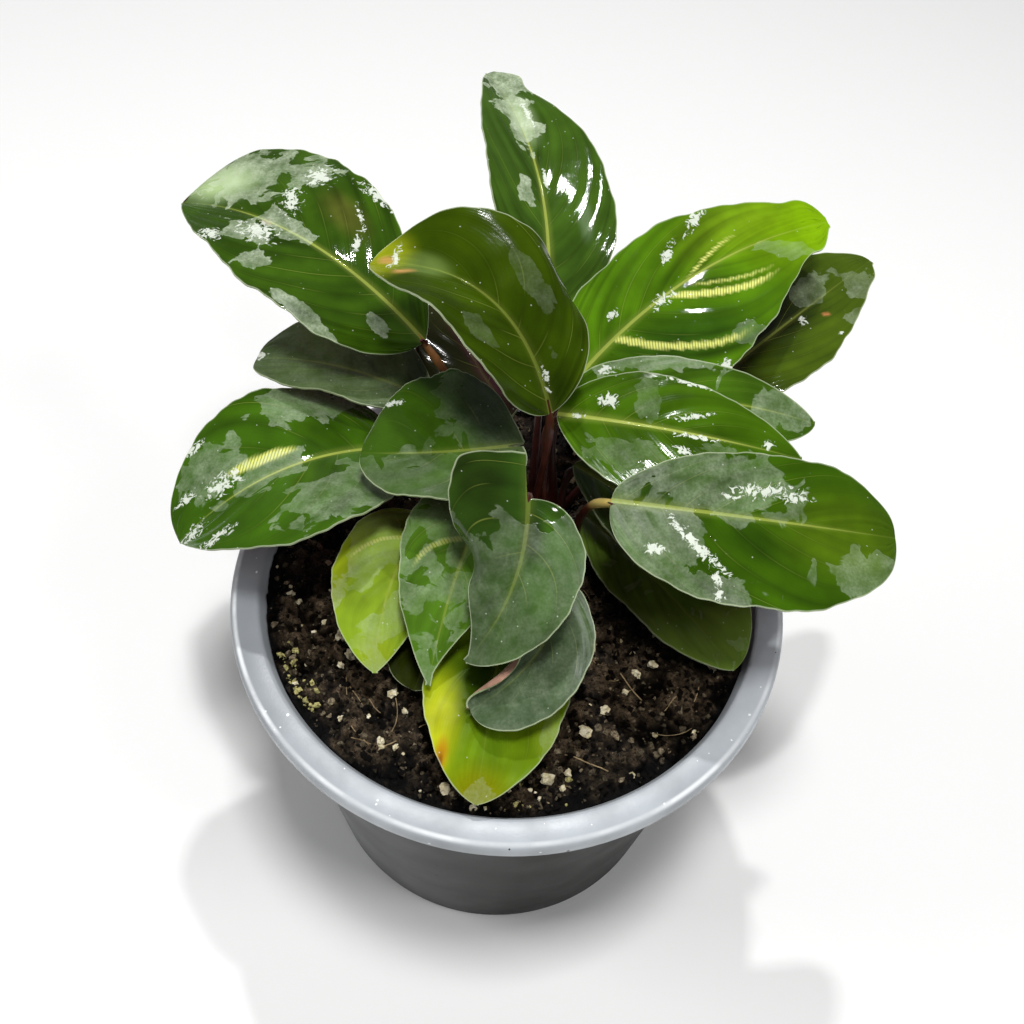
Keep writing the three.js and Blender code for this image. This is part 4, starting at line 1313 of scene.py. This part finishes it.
@dataclass
class Pot:
    """The pot: a tapered wall, a flange whose edge turns down, and a floor with drainage holes.

    rings are the heights of the wall's rings between floor and flange; inner_top is where the inner
    wall starts under the rim, and inner_step how far the rim's rounding stands out from it.
    """

    height: float = 110.0
    rim_radius: float = 75.0
    rim_inner_radius: float = 67.7
    rim_drop: float = 4.6
    rim_round: float = 1.8
    inner_round: float = 1.3
    flange: float = 1.8
    lip: float = 1.6
    wall: float = 1.8
    wall_top_radius: float = 68.2
    base_radius: float = 55.0
    floor: float = 2.0
    drains: int = 6
    drain_radius: float = 4.5
    drain_circle: float = 38.0
    drain_depth: float = 12.0
    drain_sides: int = 32
    segments: int = 168
    rings: tuple[float, ...] = (30.0, 70.0)
    inner_top: float = 107.6
    inner_step: float = 0.5
    corner: float = 0.75
    corner_steps: int = 4
    corner_degrees: float = 40.0
    crease_degrees: float = 32.0

    def wall_radius(self, height: float) -> float:
        """Gives the wall's outer radius at a height."""
        return self.base_radius + (self.wall_top_radius - self.base_radius) * height / self.height

    def profile(self) -> list[tuple[float, float]]:
        """Lists the radius and height of each ring, from the base up the outside and down the inside.

        Returns:
            Pairs of radius and height in millimetres.
        """
        under = self.height - self.flange
        drop = self.height - self.rim_drop
        return [
            *((self.wall_radius(ring), ring) for ring in (*self.rings, under)),
            (self.rim_radius - self.lip, under),
            (self.rim_radius - self.lip, drop),
            (self.rim_radius, drop),
            *self.rounding(self.rim_radius - self.rim_round, self.rim_round, (0, 30, 60, 90)),
            *self.rounding(self.rim_inner_radius + self.inner_step, self.inner_round, (90, 120, 150, 180)),
            (self.wall_radius(self.inner_top) - self.wall, self.inner_top),
            (self.wall_radius(self.floor) - self.wall, self.floor),
        ]

    def rounding(self, radius: float, size: float,
                 angles: tuple[float, ...]) -> list[tuple[float, float]]:
        """Rounds an edge of the rim's top.

        Args:
            radius: Where the rounding's centre stands, from the pot's axis.
            size: The rounding's own radius.
            angles: Directions of its points, in degrees from straight outward.

        Returns:
            Pairs of radius and height in millimetres.
        """
        return [(radius + size * math.cos(math.radians(angle)),
                 self.height - size + size * math.sin(math.radians(angle))) for angle in angles]

    def body(self) -> Piece:
        """Raises the pot ring by ring from a disc and rounds its corners.

        Returns:
            The pot without its drainage holes.
        """
        hushed()
        bpy.ops.mesh.primitive_circle_add(vertices=self.segments, radius=self.base_radius * MM,
                                          fill_type="NGON")
        pot = bpy.context.object
        pot.name = "pot_body"
        bpy.ops.object.mode_set(mode="EDIT")
        bpy.ops.mesh.select_mode(type="FACE")
        radius, height = self.base_radius, 0.0
        for wide, high in self.profile():
            bpy.ops.mesh.extrude_region_move(
                TRANSFORM_OT_translate={"value": (0, 0, (high - height) * MM)})
            grow = wide / radius
            bpy.ops.transform.resize(value=(grow, grow, 1), center_override=(0, 0, high * MM))
            radius, height = wide, high
        face_outward()
        modify(pot, "rounded_corners", "BEVEL", width=self.corner * MM, segments=self.corner_steps,
               limit_method="ANGLE", angle_limit=math.radians(self.corner_degrees))
        return pot

    def drill(self, pot: Piece) -> None:
        """Cuts the drainage holes.

        Args:
            pot: The pot's body.
        """
        hushed()
        bpy.ops.mesh.primitive_cylinder_add(vertices=self.drain_sides, radius=self.drain_radius * MM,
                                            depth=self.drain_depth * MM,
                                            location=(self.drain_circle * MM, 0, 0))
        cutter = bpy.context.object
        bpy.ops.object.mode_set(mode="EDIT")
        bpy.ops.mesh.select_all(action="SELECT")
        for _ in range(self.drains - 1):
            bpy.ops.mesh.duplicate()
            bpy.ops.transform.rotate(value=FULL_TURN / self.drains, orient_axis="Z",
                                     center_override=(0, 0, 0))
        bpy.ops.object.mode_set(mode="OBJECT")
        modify(pot, "drain_holes", "BOOLEAN", operation="DIFFERENCE", solver="EXACT", object=cutter)
        bpy.data.objects.remove(cutter)

    def build(self, finish: PotFinish) -> Piece:
        """Models and dresses the pot and puts it on the frame.

        Args:
            finish: The pot's plastic.

        Returns:
            The finished pot.
        """
        pot = self.body()
        self.drill(pot)
        pot.data.materials.append(finish.material())
        take(pot)
        bpy.ops.object.shade_smooth_by_angle(angle=math.radians(self.crease_degrees))
        settle(pot, Slot.POT, "pot")
        return pot


# ---- Soil ----


@dataclass(frozen=True)
class Grain:
    """One loose grain: where its middle is, its radius and its seed."""

    x: float
    y: float
    z: float
    radius: float
    seed: int


@dataclass
class Soil:
    """Potting soil filling the pot: a crumbly bed, loose crumbs, perlite grains, root fibres and moss.

    clods pairs the width and depth of the hollows between clods; seen_grains and seen_fibres are those
    placed one by one, as place and radius, and as place, heading and length. solid_grains and the
    numbers under it repeat the solid's own scatter of grains.
    """

    edge_height: float = 108.0
    mound: float = 1.0
    highest: float = 110.0
    crumb_top: float = 110.2
    radius: float = 65.6
    bottom: float = 2.35
    bottom_radius: float = 53.1
    divisions: int = 285
    crease_degrees: float = 60.0
    crumbs: int = 9000
    solid_grains: int = 36
    solid_seed: int = 5
    solid_draws: int = 5
    solid_radius: float = 62.0
    small_grains: int = 90
    moss_bits: int = 70
    moss_at_left: int = 52
    fibres: int = 45
    fibre_rows: int = 7
    fibre_sides: int = 5
    fibre_limit: float = 62.0
    fibre_reach: float = 63.5
    clods: tuple[tuple[float, float], ...] = ((5.2, 2.6), (2.3, 1.5))
    seen_grains: tuple[Point, ...] = (
        (-42, -28, 1.0), (-40, -43, 0.9), (-24, -40, 0.9), (-29, -49, 1.2), (-12, -60, 1.5),
        (13, -56, 1.8), (18, -53, 1.1), (22, -42, 1.8), (27, -35, 1.3), (34, -52, 0.9),
        (-56, -10, 0.8), (32, -30, 0.9))
    seen_fibres: tuple[tuple[float, float, float, float], ...] = (
        (-40, -33, -0.8, 11), (-28, -49, 1.1, 13), (-31, -51, 2.4, 8), (-30, -52, 0.6, 6),
        (38, -34, 2.2, 12))

    def height(self, x: float, y: float) -> float:
        """Gives the height of the rough surface.

        Args:
            x: Place to the right.
            y: Place to the back.

        Returns:
            Height in millimetres.
        """
        away = math.hypot(x, y) / self.radius
        smooth_height = self.edge_height + self.mound * (1 - away * away)
        place = Vector((x, y, 3.0))
        lumps = noise.fractal(place / 8, 0.8, 2.2, 4)
        crumbs = noise.fractal(place / 2.0 + Vector((9, 9, 9)), 0.6, 2.3, 4)
        warped = place + 0.8 * noise.noise_vector(place / 2.5)
        hollows = sum(deep * noise.voronoi(warped / size)[0][0] ** 2 for size, deep in self.clods)
        rough_height = smooth_height + 0.6 + 1.3 * lumps + 0.5 * crumbs - hollows
        return min(rough_height - 1.3 * max(0.0, away - 0.93) / 0.07, self.highest)

    def bed(self) -> Piece:
        """Shapes the bed from a grid drawn into a disc, then closes it down to the pot's floor.

        Returns:
            The bed.
        """
        bed = grid("soil_bed", self.divisions, self.divisions)
        flat = read_rows(bed.data.vertices, "co")
        x = flat[:, 0] * np.sqrt(1 - flat[:, 1] ** 2 / 2) * self.radius
        y = flat[:, 1] * np.sqrt(1 - flat[:, 0] ** 2 / 2) * self.radius
        z = np.array([self.height(float(a), float(b)) for a, b in zip(x, y)])
        write_points(bed.data, np.stack([x, y, z], axis=1))
        # Painted shade: the bed's tone is lower the lower it lies, so its hollows turn dark.
        store(bed.data, "tone", np.clip((z - self.edge_height) / 2.6 + 0.55, 0, 1))
        take(bed)
        bpy.ops.object.mode_set(mode="EDIT")
        bpy.ops.mesh.select_mode(type="EDGE")
        bpy.ops.mesh.select_all(action="DESELECT")
        bpy.ops.mesh.select_non_manifold()
        bpy.ops.mesh.extrude_region_move()
        bpy.ops.transform.resize(value=(self.bottom_radius / self.radius,) * 2 + (0,),
                                 center_override=(0, 0, self.bottom * MM))
        bpy.ops.mesh.edge_face_add()
        face_outward()
        take(bed)
        bpy.ops.object.shade_smooth_by_angle(angle=math.radians(self.crease_degrees))
        return bed

    def lump(self, name: str, grains: list[Grain], detail: int, rough: float) -> Piece:
        """Makes a heap of grains, each a ball knocked out of round.

        Args:
            name: The heap's name.
            grains: Its grains.
            detail: How finely each ball is divided.
            rough: How far a grain departs from a ball, as a share of its radius.

        Returns:
            The heap.
        """
        hushed()
        bpy.ops.mesh.primitive_ico_sphere_add(subdivisions=detail, radius=1)
        heap = bpy.context.object
        heap.name = name
        ball = read_rows(heap.data.vertices, "co")
        faces = np.array([face.vertices[:] for face in heap.data.polygons])
        places = []
        for grain in grains:
            luck = random.Random(grain.seed)
            shift = Vector((luck.uniform(0, 90), luck.uniform(0, 90), luck.uniform(0, 90)))
            bumps = np.array([1 + rough * noise.noise(Vector(point) * 1.7 + shift) for point in ball])
            shape = ball * bumps[:, None] * (1.0, luck.uniform(0.65, 0.95), luck.uniform(0.55, 0.85))
            spin = Matrix.Rotation(luck.uniform(0, 6.28), 3, "Z")
            turn = spin @ Matrix.Rotation(luck.uniform(-0.6, 0.6), 3, "X")
            places.append(shape @ np.array(turn).T * grain.radius + (grain.x, grain.y, grain.z))
        count = len(ball)
        mesh = bpy.data.meshes.new(name)
        tones = np.repeat([random.Random(grain.seed + 0.5).random() ** (0.6 + grain.radius)
                           for grain in grains], count)
        all_faces = np.concatenate([faces + index * count for index in range(len(grains))])
        mesh.from_pydata((np.concatenate(places) * MM).tolist(), [], all_faces.tolist())
        store(mesh, "tone", tones)
        heap.data = mesh
        return heap

    def crumb_heap(self) -> Piece:
        """Scatters loose crumbs over the bed.

        Returns:
            The crumbs.
        """
        luck = random.Random(7)
        grains = []
        for index in range(self.crumbs):
            away = math.sqrt(luck.random()) * (self.radius - 1.2)
            angle = luck.uniform(0, FULL_TURN)
            x, y = away * math.cos(angle), away * math.sin(angle)
            size = 0.22 + 0.95 * luck.random() ** 3
            sunk = self.height(x, y) + 0.2 * size
            grains.append(Grain(x, y, min(sunk, self.crumb_top - size), size, index))
        return self.lump("soil_crumbs", grains, 1, 1.1)

    def perlite(self) -> Piece:
        """Places the perlite grains: where the solid has them, and some smaller ones between.

        Returns:
            The grains.
        """
        state = self.solid_seed
        full = 2**32
        numbers = []
        for _ in range(self.solid_grains * self.solid_draws):
            state = (state * 1664525 + 1013904223) % full
            numbers.append(state / full)
        grains = []
        for index in range(self.solid_grains):
            size, share, around = numbers[self.solid_draws * index :][:3]
            away = 20 + 42 * math.sqrt(share)
            x, y = away * math.cos(FULL_TURN * around), away * math.sin(FULL_TURN * around)
            height = self.edge_height + self.mound - (away / self.solid_radius) ** 2
            grains.append(Grain(x, y, height, 1.2 + 1.4 * size * size, index))
        grains += [Grain(x, y, self.height(x, y) + 0.4 * size, size, 60 + index)
                   for index, (x, y, size) in enumerate(self.seen_grains)]
        luck = random.Random(21)
        for index in range(self.small_grains):
            away = 18 + 46 * math.sqrt(luck.random())
            angle = luck.uniform(0, FULL_TURN)
            x, y = away * math.cos(angle), away * math.sin(angle)
            size = 0.4 + 0.7 * luck.random() ** 2
            grains.append(Grain(x, y, self.height(x, y) + 0.2, size, 100 + index))
        return self.lump("perlite_grains", grains, 2, 0.75)

    def fibre_tangle(self) -> Piece:
        """Lays short dry roots over the bed, each a thin bent strip rolled to a tube.

        Returns:
            The fibres.
        """
        luck = random.Random(33)
        rows, sides, limit = self.fibre_rows, self.fibre_sides, self.fibre_limit
        points, faces = [], []
        for x, y, heading, length in self.fibre_places(luck):
            bend = luck.uniform(-0.12, 0.12)
            thick = luck.uniform(0.08, 0.16)
            start = len(points)
            for row in range(rows):
                x = max(-limit, min(limit, x + length / rows * math.cos(heading)))
                y = max(-limit, min(limit, y + length / rows * math.sin(heading)))
                if math.hypot(x, y) > self.fibre_reach:
                    x, y = x * 0.95, y * 0.95
                heading += bend + luck.uniform(-0.12, 0.12)
                z = max(self.height(x, y) + 0.3, self.edge_height + 0.3)
                across = (-math.sin(heading), math.cos(heading))
                for side in range(sides):
                    turn = FULL_TURN * side / sides
                    out, up = thick * math.cos(turn), thick * math.sin(turn)
                    points.append((x + across[0] * out, y + across[1] * out, z + up))
            for row in range(rows - 1):
                for side in range(sides):
                    here = start + row * sides + side
                    there = start + row * sides + (side + 1) % sides
                    faces.append((here, there, there + sides, here + sides))
            faces.append(tuple(start + side for side in reversed(range(sides))))
            faces.append(tuple(start + (rows - 1) * sides + side for side in range(sides)))
        tangle = grid("soil_fibres", sides, rows)
        mesh = bpy.data.meshes.new("soil_fibres")
        mesh.from_pydata((np.array(points) * MM).tolist(), [], faces)
        tangle.data = mesh
        take(tangle)
        bpy.ops.object.mode_set(mode="EDIT")
        face_outward()
        return tangle

    def fibre_places(self, luck: random.Random) -> list[tuple[float, float, float, float]]:
        """Chooses where the dry roots lie.

        Args:
            luck: Source of the scattered ones.

        Returns:
            The start, heading and length of each.
        """
        places = list(self.seen_fibres)
        for _ in range(self.fibres):
            away = 14 + (self.radius - 18) * math.sqrt(luck.random())
            angle = luck.uniform(0, FULL_TURN)
            heading = luck.uniform(0, FULL_TURN)
            length = luck.uniform(3, 7) if luck.random() < 0.75 else luck.uniform(7, 14)
            places.append((away * math.cos(angle), away * math.sin(angle), heading, length))
        return places

    def moss(self) -> Piece:
        """Scatters bits of dry moss along the left edge of the bed and a few at the front.

        Returns:
            The bits.
        """
        luck = random.Random(12)
        grains = []
        for index in range(self.moss_bits):
            at_left = index < self.moss_at_left
            angle = math.radians(luck.gauss(211, 5) if at_left else luck.uniform(264, 296))
            away = self.radius - 1.6 - (5 if at_left else 14) * luck.random() ** 2
            x, y = away * math.cos(angle), away * math.sin(angle)
            size = 0.22 + 0.75 * luck.random() ** 2
            sunk = self.height(x, y) + 0.5 * size
            grains.append(Grain(x, y, min(sunk, self.crumb_top - size), size, 900 + index))
        return self.lump("moss_bits", grains, 1, 1.2)

    def build(self) -> None:
        """Models and dresses the soil and puts it on the frame."""
        # Peat and bark: brown on the clods and near black in the hollows, where the bed's tone darkens it as
        # painted shade.
        peat = EarthFinish("potting_soil_peat_and_bark", "070504", "8a765d", 0.7, 0.35, 1.1, 0.8,
                           tone_power=1.6, contrast=0.12, clump_low=0.45)
        # Loose crumbs: most are dark and a few pale and dry, which gives the bed its speckle.
        crumb = EarthFinish("potting_soil_loose_crumbs", "0c0805", "b3a284", 0.6, 0.3, 0.5,
                            tone_power=4.0, contrast=0.14, clump_low=0.45)
        # Perlite: cream with peat dust and a little smoother, the palest dots on the bed.
        mineral = EarthFinish("expanded_perlite", "a39468", "ece4c8", 1.8, 0.5, 0.3, 0.8)
        # Dry roots: straw brown threads. Dry moss: dull yellow olive scraps.
        fibre = EarthFinish("dry_root_fibre", "5b4a33", "a89470", 4.0, 0.4, 0.1, 0.7)
        moss = EarthFinish("dry_moss", "4c4a20", "cfc684", 0.8, 0.3, 0.3)
        for piece, finish in ((self.bed(), peat), (self.crumb_heap(), crumb),
                              (self.perlite(), mineral), (self.fibre_tangle(), fibre),
                              (self.moss(), moss)):
            piece.data.materials.append(finish.material())
            settle(piece, Slot.SOIL, "soil")


# ---- Studio ----


@dataclass(frozen=True)
class Lamp:
    """A soft rectangular studio light that faces the plant."""

    name: str
    place: Point
    size: tuple[float, float]
    power: float
    mirrored: bool = True

    def build(self, target: Point) -> None:
        """Hangs the lamp.

        Args:
            target: The point that it faces.
        """
        light = bpy.data.lights.new(self.name, "AREA")
        light.shape = "RECTANGLE"
        light.size, light.size_y = self.size
        light.energy = self.power
        lamp = bpy.data.objects.new(self.name, light)
        bpy.context.scene.collection.objects.link(lamp)
        lamp.visible_glossy = self.mirrored
        way = Vector(target) - Vector(self.place)
        turn = way.to_track_quat("-Z", "Y").to_matrix().to_4x4()
        lamp.matrix_world = Matrix.Translation(self.place) @ turn


@dataclass
class Studio:
    """A plain pale floor, soft light and the camera at the photograph's angle."""

    camera_place: Point = (-0.0007, -0.1786, 0.3844)
    camera_down: float = 53.58
    camera_roll: float = 4.35
    lens: float = 42.19
    near: float = 0.01
    target: Point = (0, 0, 0.1)
    floor_size: float = 6.0
    backdrop: float = 2.0
    floor_colour: str = "fdfdfc"
    floor_roughness: float = 0.9
    fleck_scale: float = 400.0
    sky_colour: str = "f3f6fa"
    sky: float = 0.09
    lamps: tuple[Lamp, ...] = (
        Lamp("key", (0.05, -0.14, 1.22), (0.2, 0.2), 7.6, mirrored=False),
        Lamp("back", (-0.03, 0.48, 1.18), (0.05, 0.03), 4.4),
        Lamp("fill", (-0.95, -0.02, 0.75), (0.5, 0.5), 3.8, mirrored=False),
        Lamp("right", (0.62, -0.3, 0.95), (0.3, 0.3), 2.8, mirrored=False),
    )

    def floor(self) -> None:
        """Lays the floor and sweeps its far edge up into a backdrop."""
        hushed()
        bpy.ops.mesh.primitive_plane_add(size=self.floor_size, location=(0, 0, 0))
        floor = bpy.context.object
        floor.name = "studio_floor"
        bpy.ops.object.mode_set(mode="EDIT")
        bpy.ops.mesh.select_mode(type="EDGE")
        bpy.ops.mesh.select_all(action="DESELECT")
        bpy.ops.object.mode_set(mode="OBJECT")
        for edge in floor.data.edges:
            edge.select = all(floor.data.vertices[end].co.y > 2.9 for end in edge.vertices)
        bpy.ops.object.mode_set(mode="EDIT")
        bpy.ops.mesh.extrude_region_move(TRANSFORM_OT_translate={"value": (0, 0, self.backdrop)})
        bpy.ops.object.mode_set(mode="OBJECT")

        # Matt white paper with a barely seen fleck: it takes soft shadows and mirrors nothing.
        graph = Graph("studio_paper_matt")
        fleck = graph.add("TexNoise", {"Scale": self.fleck_scale})
        tone = graph.add("MapRange", {0: fleck, 3: 0.99, 4: 1.0})
        colour = graph.add("Mix", {"Factor_Float": 1.0, "A_Color": linear(self.floor_colour),
                                   "B_Color": tone}, out=2, data_type="RGBA", blend_type="MULTIPLY")
        floor.data.materials.append(graph.finish(Base_Color=colour, Roughness=self.floor_roughness))

    def build(self) -> None:
        """Sets the floor, the lights, the sky and the camera."""
        self.floor()
        for lamp in self.lamps:
            lamp.build(self.target)
        scene = bpy.context.scene
        world = bpy.data.worlds.new("studio_fill")
        world.use_nodes = True
        light = world.node_tree.nodes["Background"].inputs
        light["Color"].default_value = linear(self.sky_colour)
        light["Strength"].default_value = self.sky
        scene.world = world
        scene.view_settings.view_transform = "Standard"
        lens = bpy.data.cameras.new("photo_camera")
        lens.lens = self.lens
        lens.clip_start = self.near
        camera = bpy.data.objects.new("photo_camera", lens)
        scene.collection.objects.link(camera)
        camera.matrix_world = (Matrix.Translation(self.camera_place)
                               @ Matrix.Rotation(math.radians(90 - self.camera_down), 4, "X")
                               @ Matrix.Rotation(math.radians(self.camera_roll), 4, "Z"))
        scene.camera = camera


def main() -> None:
    """Builds the pot, the soil, the leaves and the studio, in that order."""
    logging.basicConfig(level=logging.INFO, format="%(name)s: %(message)s")
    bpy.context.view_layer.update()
    Pot().build(PotFinish())
    Soil().build()
    finishes = {
        "blade": BladeFinish().material(),
        # Undersides take each leaf's own plum or brown, mottled by a quarter, and shine softly.
        "underside": PlainFinish("calathea_leaf_maroon_underside", "c0c0c0", "ffffff", 0.42,
                                 carried="back_colour").material(),
        # Cut edges are a dull pale green, which outlines the blades against one another.
        "edge": PlainFinish("calathea_leaf_pale_margin", "8b9a6c", "b4bf98", 0.4).material(),
        # Stalks are dark red, shinier than the undersides, with a joint in each leaf's own colour.
        "stalk": PlainFinish("calathea_stalk", "c8c8c8", "ffffff", 0.35,
                             carried="stalk_colour").material(),
    }
    for seed, leaf in enumerate(LEAVES):
        LeafBuilder(leaf, seed).build(finishes)
    Studio().build()


if __name__ == "__main__":
    main()
